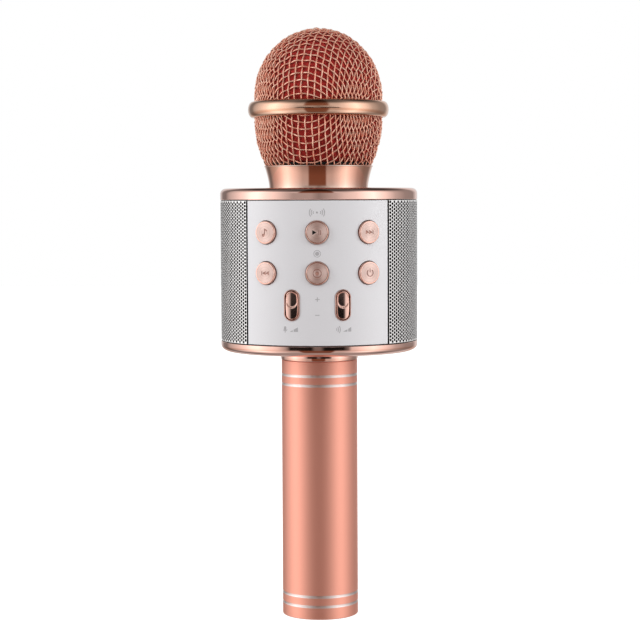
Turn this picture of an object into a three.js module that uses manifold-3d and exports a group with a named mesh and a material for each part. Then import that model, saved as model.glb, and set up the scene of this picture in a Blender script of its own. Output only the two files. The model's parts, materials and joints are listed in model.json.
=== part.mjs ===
// A hand-held karaoke microphone with a loudspeaker drum, as separate named solids.
// Units are millimetres. +Z runs up the microphone, the origin is the middle of the handle's flat
// end, and the control panel faces -Y. An azimuth is measured from the front towards +X.
import * as THREE from "three";
import { mergeVertices } from "three/addons/utils/BufferGeometryUtils.js";
import Module from "manifold-3d";

const wasm = await Module();
wasm.setup();

// ---------------------------------------------------------------- driving dimensions

const facets = 24; // sides of a large turned piece
const smallFacets = 12; // sides of a small turned piece
const fine = 0.3; // running gap between pieces that sit in turned frames
const tight = 0.1; // gap between pieces turned on the same axis

const handleRadius = 15.45;
const handleWall = 1.15;
const handleTop = 104.7;
const handleBore = handleRadius - handleWall;
const ringHeights = [5.3, 9.3, handleTop - 9.8, handleTop - 6]; // middles of the four bright turned rings
const ringWidth = 1.1;
const ringDepth = 0.15;
const spigotLength = 8; // of the flange, inside the handle

const drumRadius = 40;
const drumBottom = handleTop + 3.7;
const panelBottom = drumBottom + 4.2;
const panelTop = panelBottom + 57;
const drumTop = panelTop + 4.6;
const capWall = 2;
const capFloor = 1.8; // thickness of the bottom cap's floor
const skinThickness = 1.8; // control panel and port panel
const grilleThickness = 0.6;
const panelHalfAngle = 43.3;
const portHalfAngle = 18;
const hubRadius = 9; // threaded hub that joins the handle to the drum
const hubTop = drumBottom + 4.8;

const collarTop = drumTop + 9.2;
const collarBore = 16.5;
const collarFoot = 20; // radius of the flare where it meets the drum
const collarFlare = 2; // how much wider its mouth is
const spigotRadius = 18; // of the collar, inside the top cap

const meshRadius = 26;
const meshWall = 0.8;
const bandBottom = collarTop + 19.3;
const bandTop = bandBottom + 6.5;
const bandMiddle = (bandBottom + bandTop) / 2;
const cupDepth = 34.4; // of the ellipsoid whose upper stretch is the mesh cup
const domeCentre = bandTop + 1.7;
const domeHeight = 27.9;
const foamInset = 2; // from the outside of the mesh

const postTop = collarTop + 8.3; // of the post that carries the microphone capsule
const postRadius = 8.5;
const postBore = 6;
const mountRadius = 12.5;
const capsuleRadius = 10.5;

const buttonRadius = 4.45;
const buttonAzimuths = [-30, 0, 30];
const buttonRows = [panelTop - 12.7, panelTop - 28.5];
const buttonFace = 40.8; // distance of a button's face from the drum's axis
const buttonGap = 0.25;
const stemTip = 35.9;
const rockerWidth = 5.1;
const rockerHeight = 11.1;
const rockerAzimuth = 14.4;
const rockerRow = panelTop - 40.9;
const rockerFace = 40.6;
const rockerUnderside = 37.9;
const rockerPivot = 36.6; // distance of a rocker's pin from the drum's axis
const pinRadius = 0.8;
const rockerGap = 0.25;
const bezelWall = 0.3;

const boardInner = 30.9;
const boardOuter = 32.2;
const floorBottom = panelBottom + 0.3; // chassis floor and roof
const floorTop = floorBottom + 2;
const roofTop = panelTop - 2.5;
const roofBottom = roofTop - 2;
const chassisRadius = 37;
const baffleInner = 23.4;
const baffleOuter = 25.4;
const baffleDepth = 26;
const speakerRow = (floorTop + roofBottom) / 2;
const screwPlaces = [68, 112, 248, 292]; // azimuths of the bottom cap's screws
const screwCircle = 31.5;

const usbRow = panelTop - 16.9;
const chargeRow = usbRow - 12;
const jackRow = chargeRow - 11;
const socketFace = 39.2;
const portBoardFront = 31.6;

const cellRadius = 9.25;
const cellBottom = 18.5;
const cellTop = 83.5;
const holderBottom = 11;
const holderTop = 89;
const holderWall = 1.6;

// ---------------------------------------------------------------- materials

function paint(colour, roughness, metalness) {
  return new THREE.MeshStandardMaterial({ color: colour, roughness, metalness });
}

const polishedGold = paint("#d59a86", 0.12, 1);
const satinGold = paint("#d98f77", 0.38, 1);
const brushedGold = paint("#cf9484", 0.3, 1);
const wireGold = paint("#c99580", 0.25, 1);
const foamRed = paint("#8e2a2e", 0.95, 0);
const panelSilver = paint("#e2e2e5", 0.35, 0.4);
const sheetSteel = paint("#b9bac0", 0.3, 0.9);
const bareSteel = paint("#a9abae", 0.35, 1);
const blackPlastic = paint("#1b1c1e", 0.6, 0);
const blackRubber = paint("#202021", 0.9, 0);
const boardGreen = paint("#1d5a38", 0.5, 0);
const conePaper = paint("#2a2a2c", 0.85, 0);
const cellWrap = paint("#3c6fa8", 0.45, 0);

// ---------------------------------------------------------------- solids

// A closed mesh as a solid that can be cut and joined.
function solidFrom(geometry) {
  const plain = geometry.clone();
  plain.deleteAttribute("normal");
  plain.deleteAttribute("uv");
  const merged = mergeVertices(plain, 1e-4);
  const corners = merged.index.array;
  const kept = [];
  for (let i = 0; i < corners.length; i += 3) {
    const [a, b, c] = [corners[i], corners[i + 1], corners[i + 2]];
    if (a !== b && b !== c && c !== a) kept.push(a, b, c);
  }
  const vertProperties = new Float32Array(merged.attributes.position.array);
  return new wasm.Manifold(new wasm.Mesh({ numProp: 3, vertProperties, triVerts: new Uint32Array(kept) }));
}

function geometryFrom(solid) {
  const mesh = solid.getMesh();
  const geometry = new THREE.BufferGeometry();
  geometry.setAttribute("position", new THREE.BufferAttribute(new Float32Array(mesh.vertProperties), 3));
  geometry.setIndex(new THREE.BufferAttribute(new Uint32Array(mesh.triVerts), 1));
  geometry.computeVertexNormals();
  return geometry;
}

function cut(body, tools) {
  return geometryFrom(tools.reduce((left, tool) => left.subtract(solidFrom(tool)), solidFrom(body)));
}

function join(pieces) {
  const solids = pieces.map(solidFrom);
  return geometryFrom(solids.reduce((whole, piece) => whole.add(piece)));
}

// ---------------------------------------------------------------- shapes

const radians = THREE.MathUtils.degToRad;

// Points of a circular or elliptical arc in a lathe profile, from one angle to another in degrees.
function arc(centreX, centreY, radiusX, radiusY, from, to, steps) {
  return Array.from({ length: steps + 1 }, (_, i) => {
    const angle = radians(from + ((to - from) * i) / steps);
    return [centreX + radiusX * Math.cos(angle), centreY + radiusY * Math.sin(angle)];
  });
}

// A solid turned about Z; the profile lists [radius, height] anticlockwise.
function turned(profile, segments = facets) {
  const points = profile.map(([radius, height]) => new THREE.Vector2(radius, height));
  const onAxis = profile[0][0] === 0 && profile.at(-1)[0] === 0;
  if (!onAxis) points.push(points[0].clone());
  return new THREE.LatheGeometry(points, segments).rotateX(Math.PI / 2);
}

function tube(outer, inner, bottom, top, segments = facets) {
  return turned([[inner, bottom], [outer, bottom], [outer, top], [inner, top]], segments);
}

function disc(radius, bottom, top, segments = smallFacets) {
  return turned([[0, bottom], [radius, bottom], [radius, top], [0, top]], segments);
}

function box(width, depth, height, x, y, z) {
  return new THREE.BoxGeometry(width, depth, height).translate(x, y, z);
}

// Reach of a tool that cuts right through the drum's wall, as distances from the drum's axis.
const [cutStart, cutEnd] = [drumRadius - 6, drumRadius + 4];

// A flat shape given thickness along Z.
function slab(shape, bottom, top, curveSegments = 12) {
  const settings = { depth: top - bottom, bevelEnabled: false, curveSegments };
  return new THREE.ExtrudeGeometry(shape, settings).translate(0, 0, bottom);
}

// A curved wall about Z between two azimuths.
function curvedWall(inner, outer, fromAzimuth, toAzimuth, bottom, top, curveSegments = 12) {
  const start = radians(fromAzimuth - 90);
  const end = radians(toAzimuth - 90);
  const shape = new THREE.Shape();
  shape.absarc(0, 0, outer, start, end, false);
  shape.absarc(0, 0, inner, end, start, true);
  return slab(shape, bottom, top, curveSegments);
}

// An upright pill outline centred on the origin.
function pill(width, height) {
  const radius = width / 2;
  const straight = height / 2 - radius;
  const shape = new THREE.Shape();
  shape.absarc(0, straight, radius, 0, Math.PI, false);
  shape.absarc(0, -straight, radius, Math.PI, 2 * Math.PI, false);
  return shape;
}

// ---------------------------------------------------------------- placing

// A frame on the drum's wall: local Z points outwards from the drum's axis, X runs level along
// the wall and Y runs up, so local Z is the distance from the axis.
function wallFrame(azimuth, height) {
  const frame = new THREE.Group();
  frame.rotation.set(Math.PI / 2, 0, radians(azimuth), "ZYX");
  frame.position.set(0, 0, height);
  frame.updateMatrix();
  return frame;
}

function onWall(geometry, azimuth, height) {
  return geometry.clone().applyMatrix4(wallFrame(azimuth, height).matrix);
}

function piece(name, geometry, material) {
  const mesh = new THREE.Mesh(geometry, material);
  mesh.name = name;
  return mesh;
}

const sides = [["left", -1], ["right", 1]];
const buttonNames = [
  ["top_left", "top_middle", "top_right"],
  ["low_left", "low_middle", "low_right"],
];

// Calls make(name, azimuth, height) for each of the six buttons.
function forEachButton(make) {
  buttonRows.forEach((height, row) => {
    buttonAzimuths.forEach((azimuth, column) => make(buttonNames[row][column], azimuth, height));
  });
}

// ---------------------------------------------------------------- head

// Radius of the mesh cup at a height, on a surface set back by a distance from the wires.
function cupRadius(height, inset) {
  const below = Math.max(0, bandBottom - height);
  return meshRadius * Math.sqrt(1 - (below / cupDepth) ** 2) - inset;
}

function cupSide(bottom, top, inset, steps) {
  return Array.from({ length: steps + 1 }, (_, i) => {
    const height = bottom + ((top - bottom) * i) / steps;
    return [cupRadius(height, inset), height];
  });
}

// Quarter of the dome's outline from its widest ring to its top, set back from the wires.
function domeSide(inset, steps) {
  const side = arc(0, domeCentre, meshRadius - inset, domeHeight - inset, 0, 90, steps);
  side.at(-1)[0] = 0;
  return side;
}

function grilleDome() {
  const foot = bandMiddle + tight;
  const inner = meshRadius - meshWall;
  const inside = domeSide(meshWall, 8).reverse();
  return turned([...inside, [inner, foot], [meshRadius, foot], ...domeSide(0, 8)]);
}

function grilleCup() {
  const foot = collarTop + fine;
  const rim = bandMiddle - tight;
  const outside = [...cupSide(foot, bandBottom, 0, 5), [meshRadius, rim]];
  const inside = [[meshRadius - meshWall, rim], ...cupSide(foot, bandBottom, meshWall, 5).reverse()];
  return turned([...outside, ...inside]);
}

function grilleBand() {
  const bore = meshRadius + tight;
  const halfHeight = (bandTop - bandBottom) / 2;
  const bulge = 1.7;
  const land = bore + 0.7;
  const crown = arc(land, bandMiddle, bulge, halfHeight, -90, 90, 6);
  return turned([[bore, bandBottom], ...crown, [bore, bandTop]]);
}

function foamWindscreen() {
  const foot = collarTop + 2.2;
  const cavity = 15;
  const cavityTop = domeCentre + 2;
  const hollow = arc(0, cavityTop, cavity, cavity, 90, 0, 4);
  hollow[0][0] = 0;
  const side = cupSide(foot, bandBottom, foamInset, 4);
  return turned([...hollow, [cavity, foot], ...side, ...domeSide(foamInset, 6)], smallFacets);
}

// The flare between the drum and the mesh, with a spigot that screws into the top cap.
function neckCollar() {
  const spigotFoot = panelTop - 0.4;
  const foot = drumTop + tight;
  const lip = 0.5;
  const flare = (height) => collarFoot + collarFlare * ((height - drumTop) / (collarTop - drumTop)) ** 1.5;
  const steps = 6;
  const outside = Array.from({ length: steps + 1 }, (_, i) => {
    const height = foot + ((collarTop - lip - foot) * i) / steps;
    return [flare(height), height];
  });
  const mouth = flare(collarTop);
  return turned([
    [collarBore, spigotFoot],
    [spigotRadius, spigotFoot],
    [spigotRadius, foot],
    ...outside,
    [mouth, collarTop],
    [mouth - lip, collarTop],
    [collarBore + 2, collarTop - 2],
    [collarBore, collarTop - 5.7],
  ]);
}

// ---------------------------------------------------------------- capsule

function capsulePost() {
  const foot = roofTop + tight;
  const flange = 13.5;
  return turned([
    [postBore, foot],
    [flange, foot],
    [flange, foot + 2],
    [postRadius, foot + 5],
    [postRadius, postTop],
    [postBore, postTop],
  ], smallFacets);
}

// A rubber cup on the post, with a floor under the capsule.
function capsuleMount() {
  const foot = postTop + tight;
  const floor = 1.9;
  const rim = postTop + 13;
  const bore = capsuleRadius + 0.2;
  return turned([
    [postBore, foot],
    [mountRadius, foot],
    [mountRadius, rim],
    [bore, rim],
    [bore, foot + floor],
    [postBore, foot + floor],
  ], smallFacets);
}

function micCapsule() {
  const foot = postTop + 2.1;
  const shoulder = postTop + 20;
  const cap = arc(0, shoulder, capsuleRadius - 1, 3, 0, 90, 4).slice(0, -1);
  return turned([
    [0, foot],
    [capsuleRadius, foot],
    [capsuleRadius, shoulder],
    ...cap,
    [0, shoulder + 3],
  ], smallFacets);
}

// ---------------------------------------------------------------- drum shell

function topCap() {
  const edge = 2.2;
  const underside = drumTop - capWall;
  const hole = spigotRadius + 0.4;
  const inner = drumRadius - capWall;
  return turned([
    [drumRadius, panelTop],
    ...arc(drumRadius - edge, drumTop - edge, edge, edge, 0, 90, 4),
    [hole, drumTop],
    [hole, underside],
    [inner - 1.4, underside],
    [inner, underside - 1],
    [inner, panelTop],
  ]);
}

// A shallow dish with four screw bosses on its floor.
function bottomCap() {
  const [edgeWidth, edgeHeight] = [4, 2.6];
  const floor = drumBottom + capFloor;
  const hole = hubRadius + fine;
  const inner = drumRadius - capWall;
  const shell = turned([
    [hole, drumBottom],
    ...arc(drumRadius - edgeWidth, drumBottom + edgeHeight, edgeWidth, edgeHeight, -90, 0, 4),
    [drumRadius, panelBottom],
    [inner, panelBottom],
    [inner, floor + 1],
    [inner - 2, floor],
    [hole, floor],
  ]);
  const bosses = screwPlaces.map((azimuth) => screwPillar(azimuth, 3, floor - 0.2, floorBottom - tight));
  const pilots = screwPlaces.map((azimuth) => screwPillar(azimuth, 1.5, drumBottom + 1, floorBottom));
  return cut(join([shell, ...bosses]), pilots);
}

function screwPillar(azimuth, radius, bottom, top) {
  const turn = radians(azimuth);
  return disc(radius, bottom, top).translate(screwCircle * Math.sin(turn), -screwCircle * Math.cos(turn), 0);
}

function bottomScrew() {
  const shaft = 1.2;
  const head = 2.4;
  const tip = drumBottom + 1.3;
  const seat = floorTop + tight;
  const top = seat + 1.6;
  return turned([
    [0, tip],
    [shaft, tip + 0.6],
    [shaft, seat],
    [head, seat],
    [head, seat + 0.9],
    [head - 1, top],
    [0, top],
  ], smallFacets);
}

// A curved panel of the drum between two azimuths.
function drumWall(fromAzimuth, toAzimuth, steps) {
  const [bottom, top] = [panelBottom + tight, panelTop - tight];
  return curvedWall(drumRadius - skinThickness, drumRadius, fromAzimuth, toAzimuth, bottom, top, steps);
}

function controlPanel() {
  const holes = [];
  forEachButton((name, azimuth, height) => {
    holes.push(onWall(disc(buttonRadius + buttonGap, cutStart, cutEnd), azimuth, height));
  });
  const grow = 2 * (rockerGap + bezelWall + 0.15);
  for (const [, side] of sides) {
    const opening = slab(pill(rockerWidth + grow, rockerHeight + grow), cutStart, cutEnd, 5);
    holes.push(onWall(opening, side * rockerAzimuth, rockerRow));
  }
  return cut(drumWall(-panelHalfAngle, panelHalfAngle, 12), holes);
}

function sideGrille(side) {
  const outer = drumRadius - tight;
  const inner = outer - grilleThickness;
  const seam = 0.4;
  const front = panelHalfAngle + seam;
  const back = 180 - portHalfAngle - seam;
  const [from, to] = side > 0 ? [front, back] : [-back, -front];
  return curvedWall(inner, outer, from, to, panelBottom + tight, panelTop - tight, 14);
}

// The rear panel, with openings for a USB-A socket, a charging socket and a headphone jack.
function portPanel() {
  const depth = 8;
  const jackHole = disc(3.4, cutStart, cutEnd).rotateX(-Math.PI / 2).translate(0, 0, jackRow);
  return cut(drumWall(180 - portHalfAngle, 180 + portHalfAngle, 6), [
    box(14, depth, 6.6, 0, drumRadius, usbRow),
    box(8.4, depth, 3.8, 0, drumRadius, chargeRow),
    jackHole,
  ]);
}

// ---------------------------------------------------------------- drum inside

// Floor and roof joined by two speaker baffles, a curved shield behind the board and two rails.
function chassis() {
  const floorHole = 15; // clears the nut that clamps the handle
  const roofHole = 5; // for the capsule's wires
  const floor = tube(chassisRadius, floorHole, floorBottom, floorTop);
  const roof = tube(chassisRadius, roofHole, roofBottom, roofTop);
  const lap = 0.2; // how far the walls run into the floor and the roof
  const tall = roofBottom - floorTop + 2 * lap;
  const baffle = baffleOuter - baffleInner;
  const middle = baffleInner + baffle / 2;
  const walls = sides.map(([, side]) => box(baffle, 2 * baffleDepth, tall, side * middle, 0, speakerRow));
  const shieldOuter = boardInner - tight;
  const shieldInner = shieldOuter - 1.9;
  const shieldAngle = 56;
  const [foot, head] = [floorTop - lap, roofBottom + lap];
  const shield = curvedWall(shieldInner, shieldOuter, -shieldAngle, shieldAngle, foot, head, 8);
  const railPlace = 13.4; // of the rails at the edges of the port board, from the middle
  const rails = sides.map(([, side]) => box(2, 5, tall, side * railPlace, 30.8, speakerRow));
  const speakerOpening = 20.8;
  const speakerHole = disc(speakerOpening, baffleInner - 3, baffleOuter + 3);
  const speakerHoles = sides.map(([, side]) => (
    speakerHole.clone().rotateY((side * Math.PI) / 2).translate(0, 0, speakerRow)
  ));
  const screwHoles = screwPlaces.map((azimuth) => screwPillar(azimuth, 1.5, floorBottom - 1, floorTop + 1));
  return cut(join([floor, roof, shield, ...walls, ...rails]), [...speakerHoles, ...screwHoles]);
}

function controlBoard() {
  return curvedWall(boardInner, boardOuter, -41, 41, floorTop + 1, roofBottom - 1, 8);
}

// A tactile switch under a button, in the button's wall frame.
function tactSwitch() {
  const foot = boardOuter + fine;
  const width = 6;
  const height = 2;
  const plunger = disc(1.75, foot + height - 0.2, foot + height + 0.6);
  return join([box(width, width, height, 0, 0, foot + height / 2), plunger]);
}

// A round button: domed cap, retaining flange behind the panel and a stem over the switch.
function button() {
  const flangeBottom = stemTip + 0.7;
  const flangeTop = flangeBottom + 0.7;
  const flange = 5.3;
  const stem = 1.8;
  const edge = 0.35;
  const crown = 0.15;
  return turned([
    [0, stemTip],
    [stem, stemTip],
    [stem, flangeBottom],
    [flange, flangeBottom],
    [flange, flangeTop],
    [buttonRadius, flangeTop],
    [buttonRadius, buttonFace - edge],
    [buttonRadius - edge, buttonFace],
    [0, buttonFace + crown],
  ], smallFacets);
}

// A rocker key in its own frame, with the origin on its pin and local Z pointing outwards.
function rockerKey() {
  const underside = rockerUnderside - rockerPivot;
  const face = rockerFace - rockerPivot;
  const step = 0.3; // height of the raised face above the key's shoulder
  const inset = 0.8;
  const keyBody = slab(pill(rockerWidth, rockerHeight), underside, face - step, 6);
  const crown = slab(pill(rockerWidth - inset, rockerHeight - inset), face - step - 0.2, face, 6);
  const [lugFoot, lugTop] = [-1.6, underside + 0.5];
  const lug = box(4, 4.4, lugTop - lugFoot, 0, 0, (lugTop + lugFoot) / 2);
  const bore = disc(pinRadius + fine, -4, 4).rotateY(Math.PI / 2);
  return cut(join([keyBody, crown, lug]), [bore]);
}

function rockerPin() {
  const halfLength = 4.2;
  return disc(pinRadius, -halfLength, halfLength).rotateY(Math.PI / 2);
}

// The bracket that carries a rocker's pin, with a domed switch under each end of the key.
function rockerBracket() {
  const foot = boardOuter + fine;
  const plateTop = foot + 1.2;
  const earTop = rockerPivot + 0.8;
  const plate = box(8, 13, plateTop - foot, 0, 0, (foot + plateTop) / 2);
  const ears = sides.map(([, side]) => box(1.5, 4, earTop - foot, side * 3.15, 0, (earTop + foot) / 2));
  const domes = [-4.2, 4.2].map((y) => disc(1.6, plateTop - 0.2, rockerUnderside - 1.2).translate(0, y, 0));
  const bore = disc(pinRadius + fine, -6, 6).rotateY(Math.PI / 2).translate(0, 0, rockerPivot);
  return cut(join([plate, ...ears, ...domes]), [bore]);
}

function rockerBezel() {
  const inner = 2 * rockerGap;
  const outer = inner + 2 * bezelWall;
  const ring = slab(pill(rockerWidth + outer, rockerHeight + outer), drumRadius - 1.6, drumRadius + 0.25, 6);
  const opening = slab(pill(rockerWidth + inner, rockerHeight + inner), cutStart, cutEnd, 6);
  return cut(ring, [opening]);
}

// ---------------------------------------------------------------- loudspeaker

// Loudspeaker pieces, turned about their own axis with height 0 on the baffle's outer face.

const basketDepth = 12;

// A frame with a seat on the baffle and a ring behind that holds the magnet.
function speakerBasket() {
  const wall = 1;
  return turned([
    [5.8, -basketDepth],
    [11.6, -basketDepth],
    [20.3, -wall],
    [20.3, tight],
    [22.2, tight],
    [22.2, wall],
    [18.8, wall],
    [18.8, wall - 1.8],
    [10.8, wall - basketDepth],
    [5.8, wall - basketDepth],
  ], smallFacets);
}

// A magnet with a pole that reaches up inside the cone's coil.
function speakerMagnet() {
  const top = -basketDepth - tight;
  const thickness = 7;
  const pole = 4.6;
  return turned([
    [0, top - thickness],
    [11, top - thickness],
    [11, top],
    [pole, top],
    [pole, top + 4.1],
    [0, top + 4.1],
  ], smallFacets);
}

// A paper cone with a domed dust cap in front and the coil's tube behind.
function speakerCone() {
  const paper = 0.6;
  const coil = 5.2;
  const coilFoot = -10.4;
  const capFoot = -5;
  const capTop = -2.6;
  const front = arc(0, capFoot, 6, capTop - capFoot, 0, 90, 3).slice(0, -1);
  const back = arc(0, capFoot - paper, 5, capTop - capFoot, 90, 0, 3).slice(1);
  return turned([
    [coil - 0.3, coilFoot],
    [coil, coilFoot],
    [coil, -6.6],
    [16.5, -paper],
    [16.5, 0],
    [15.9, 0],
    [6.6, capFoot],
    ...front,
    [0, capTop],
    [0, capTop - paper],
    ...back,
    [coil - 0.3, -6.6],
  ], smallFacets);
}

function speakerSurround() {
  const middle = 18.65;
  const roll = 1.75;
  const skin = 0.5;
  const foot = 1 + tight;
  const outside = arc(middle, foot, roll, roll, 0, 180, 4);
  const inside = arc(middle, foot, roll - skin, roll - skin, 180, 0, 4);
  return turned([...outside, ...inside], smallFacets);
}

// ---------------------------------------------------------------- ports

function portBoard() {
  const thickness = 1.6;
  return box(24, thickness, 44, 0, portBoardFront - thickness / 2, chargeRow - 1);
}

// A socket shell that is open at its mouth, with a contact tongue inside.
function socketShell(width, height, wall, tongueWidth, tongueHeight, middle) {
  const back = portBoardFront + tight;
  const depth = socketFace - back;
  const shell = box(width, depth, height, 0, back + depth / 2, middle);
  const hollow = box(width - 2 * wall, depth, height - 2 * wall, 0, back + depth / 2 + 1, middle);
  const tongue = box(tongueWidth, depth - 1, tongueHeight, 0, back + (depth - 1) / 2, middle);
  return join([cut(shell, [hollow]), tongue]);
}

// A headphone jack: a square body on the board with a round nose in the port panel's hole.
function audioJack() {
  const back = portBoardFront + tight;
  const [width, depth] = [7, 5];
  const noseRadius = 3;
  const boreRadius = 1.8;
  const rearWall = 1;
  const body = box(width, depth, width, 0, back + depth / 2, jackRow);
  const turnOutwards = (tool) => tool.rotateX(-Math.PI / 2).translate(0, 0, jackRow);
  const nose = turnOutwards(disc(noseRadius, back + depth - 1, socketFace));
  const bore = turnOutwards(disc(boreRadius, back + rearWall, socketFace + 1));
  return cut(join([body, nose]), [bore]);
}

// ---------------------------------------------------------------- handle

function handleTube() {
  const edge = 0.5;
  const outside = [[handleRadius - edge, 0], [handleRadius, edge]];
  for (const middle of ringHeights) {
    const [low, high] = [middle - ringWidth / 2, middle + ringWidth / 2];
    const floor = handleRadius - ringDepth;
    outside.push([handleRadius, low], [floor, middle], [handleRadius, high]);
  }
  outside.push([handleRadius, handleTop - tight]);
  return turned([[handleBore, 0], ...outside, [handleBore, handleTop - tight]]);
}

// The polished ring on top of the handle, with a spigot below and a threaded hub above.
function handleFlange() {
  const radius = handleRadius + 0.2;
  const wireHole = 5;
  const spigot = handleBore - tight;
  const spigotFoot = handleTop - spigotLength;
  const face = drumBottom - tight;
  const edge = 0.4;
  return turned([
    [wireHole, spigotFoot],
    [spigot, spigotFoot],
    [spigot, handleTop],
    [radius, handleTop],
    [radius, face - edge],
    [radius - edge, face],
    [hubRadius, face],
    [hubRadius, hubTop],
    [wireHole, hubTop],
  ]);
}

function flangeNut() {
  const bottom = drumBottom + capFloor + tight;
  const thickness = 2.4;
  const nut = disc(13.5, bottom, bottom + thickness, 6);
  return cut(nut, [disc(hubRadius + fine, bottom - 1, bottom + thickness + 1, facets)]);
}

function endCap() {
  const radius = handleBore - tight;
  const floor = 3;
  const skirt = holderBottom - tight;
  const skirtWall = 1.5;
  return turned([
    [0, 0],
    [radius, 0],
    [radius, skirt],
    [radius - skirtWall, skirt],
    [radius - skirtWall, floor],
    [0, floor],
  ]);
}

function batteryHolder() {
  const inner = cellRadius + fine;
  const outer = inner + 1.85;
  const trough = curvedWall(inner, outer, -100, 100, holderBottom, holderTop, 5);
  const ends = [
    disc(outer, holderBottom, holderBottom + holderWall),
    disc(outer, holderTop - holderWall, holderTop),
  ];
  return join([trough, ...ends]);
}

// A cylindrical cell with a rolled bead near its top and a raised contact.
function batteryCell() {
  const can = cellTop - 1.2;
  const bead = cellRadius - 0.6;
  const edge = 0.4;
  return turned([
    [0, cellBottom],
    [cellRadius - edge, cellBottom],
    [cellRadius, cellBottom + edge],
    [cellRadius, can - 3],
    [bead, can - 2.5],
    [bead, can - 2],
    [cellRadius, can - 1.5],
    [cellRadius, can - edge],
    [cellRadius - edge, can],
    [3, can],
    [3, cellTop],
    [0, cellTop],
  ], smallFacets);
}

// A conical compression spring between the holder's lower wall and the cell.
function contactSpring() {
  const wire = 0.4;
  const turns = 3.5;
  const bottom = holderBottom + holderWall + wire + tight;
  const top = cellBottom - wire - tight;
  const places = 42;
  const helix = Array.from({ length: places + 1 }, (_, i) => {
    const part = i / places;
    const angle = 2 * Math.PI * turns * part;
    const radius = 7 - 3.5 * part;
    const height = bottom + (top - bottom) * part;
    return new THREE.Vector3(radius * Math.cos(angle), radius * Math.sin(angle), height);
  });
  const round = new THREE.Shape().absarc(0, 0, wire, 0, 2 * Math.PI, false);
  const extrudePath = new THREE.CatmullRomCurve3(helix);
  return new THREE.ExtrudeGeometry(round, { steps: 36, curveSegments: 2, bevelEnabled: false, extrudePath });
}

// A flat plate under the holder's upper wall, with a finger bent down to the cell's button.
function contactPlate() {
  const outline = [[-4, 0], [-4, -0.4], [1.5, -3.6], [1.9, -3.2], [-2.8, -0.4], [4, -0.4], [4, 0]];
  const shape = new THREE.Shape(outline.map(([x, y]) => new THREE.Vector2(x, y)));
  const under = holderTop - holderWall - tight;
  return slab(shape, -4, 4).rotateX(Math.PI / 2).translate(0, 0, under);
}

// ---------------------------------------------------------------- assembly

function head() {
  const group = new THREE.Group();
  group.add(piece("grille_dome", grilleDome(), wireGold));
  group.add(piece("grille_cup", grilleCup(), wireGold));
  group.add(piece("grille_band", grilleBand(), polishedGold));
  group.add(piece("foam_windscreen", foamWindscreen(), foamRed));
  group.add(piece("neck_collar", neckCollar(), polishedGold));
  return group;
}

function capsule() {
  const group = new THREE.Group();
  group.add(piece("capsule_post", capsulePost(), blackPlastic));
  group.add(piece("capsule_mount", capsuleMount(), blackRubber));
  group.add(piece("mic_capsule", micCapsule(), bareSteel));
  return group;
}

function shell() {
  const group = new THREE.Group();
  group.add(piece("top_cap", topCap(), polishedGold));
  group.add(piece("bottom_cap", bottomCap(), polishedGold));
  group.add(piece("control_panel", controlPanel(), panelSilver));
  group.add(piece("port_panel", portPanel(), panelSilver));
  for (const [name, side] of sides) {
    group.add(piece(`${name}_grille`, sideGrille(side), sheetSteel));
  }
  return group;
}

function controls() {
  const group = new THREE.Group();
  group.add(piece("control_board", controlBoard(), boardGreen));
  forEachButton((name, azimuth, height) => {
    const frame = wallFrame(azimuth, height);
    frame.add(piece(`button_${name}`, button(), brushedGold));
    frame.add(piece(`switch_${name}`, tactSwitch(), blackPlastic));
    group.add(frame);
  });
  for (const [name, side] of sides) {
    const frame = wallFrame(side * rockerAzimuth, rockerRow);
    const moving = [
      piece(`rocker_${name}`, rockerKey(), polishedGold),
      piece(`rocker_pin_${name}`, rockerPin(), bareSteel),
    ];
    for (const part of moving) part.position.z = rockerPivot;
    frame.add(...moving);
    frame.add(piece(`rocker_bracket_${name}`, rockerBracket(), blackPlastic));
    frame.add(piece(`rocker_bezel_${name}`, rockerBezel(), polishedGold));
    group.add(frame);
  }
  return group;
}

function loudspeaker(name, side) {
  const group = new THREE.Group();
  group.position.set(side * baffleOuter, 0, speakerRow);
  group.rotation.y = (side * Math.PI) / 2;
  group.add(piece(`speaker_basket_${name}`, speakerBasket(), bareSteel));
  group.add(piece(`speaker_magnet_${name}`, speakerMagnet(), bareSteel));
  group.add(piece(`speaker_cone_${name}`, speakerCone(), conePaper));
  group.add(piece(`speaker_surround_${name}`, speakerSurround(), blackRubber));
  return group;
}

function ports() {
  const group = new THREE.Group();
  group.add(piece("port_board", portBoard(), boardGreen));
  group.add(piece("usb_socket", socketShell(13.1, 5.7, 0.5, 10.6, 1.8, usbRow), bareSteel));
  group.add(piece("charge_socket", socketShell(7.5, 2.9, 0.4, 4.4, 0.7, chargeRow), bareSteel));
  group.add(piece("audio_jack", audioJack(), blackPlastic));
  return group;
}

function frameAndScrews() {
  const group = new THREE.Group();
  group.add(piece("chassis", chassis(), blackPlastic));
  screwPlaces.forEach((azimuth, index) => {
    const screw = piece(`bottom_screw_${index + 1}`, bottomScrew(), bareSteel);
    const turn = radians(azimuth);
    screw.position.set(screwCircle * Math.sin(turn), -screwCircle * Math.cos(turn), 0);
    group.add(screw);
  });
  return group;
}

function handle() {
  const group = new THREE.Group();
  group.add(piece("handle_tube", handleTube(), satinGold));
  group.add(piece("handle_flange", handleFlange(), polishedGold));
  group.add(piece("flange_nut", flangeNut(), bareSteel));
  group.add(piece("end_cap", endCap(), satinGold));
  group.add(piece("battery_holder", batteryHolder(), blackPlastic));
  group.add(piece("battery_cell", batteryCell(), cellWrap));
  group.add(piece("contact_spring", contactSpring(), bareSteel));
  group.add(piece("contact_plate", contactPlate(), bareSteel));
  return group;
}

const microphone = new THREE.Group();
microphone.add(head(), capsule(), shell(), controls(), ports(), frameAndScrews(), handle());
for (const [name, side] of sides) microphone.add(loudspeaker(name, side));

export default microphone;
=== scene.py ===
import json
import math
from contextlib import contextmanager
from itertools import product

import bmesh
import bpy
from mathutils import Matrix, Vector, noise


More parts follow.
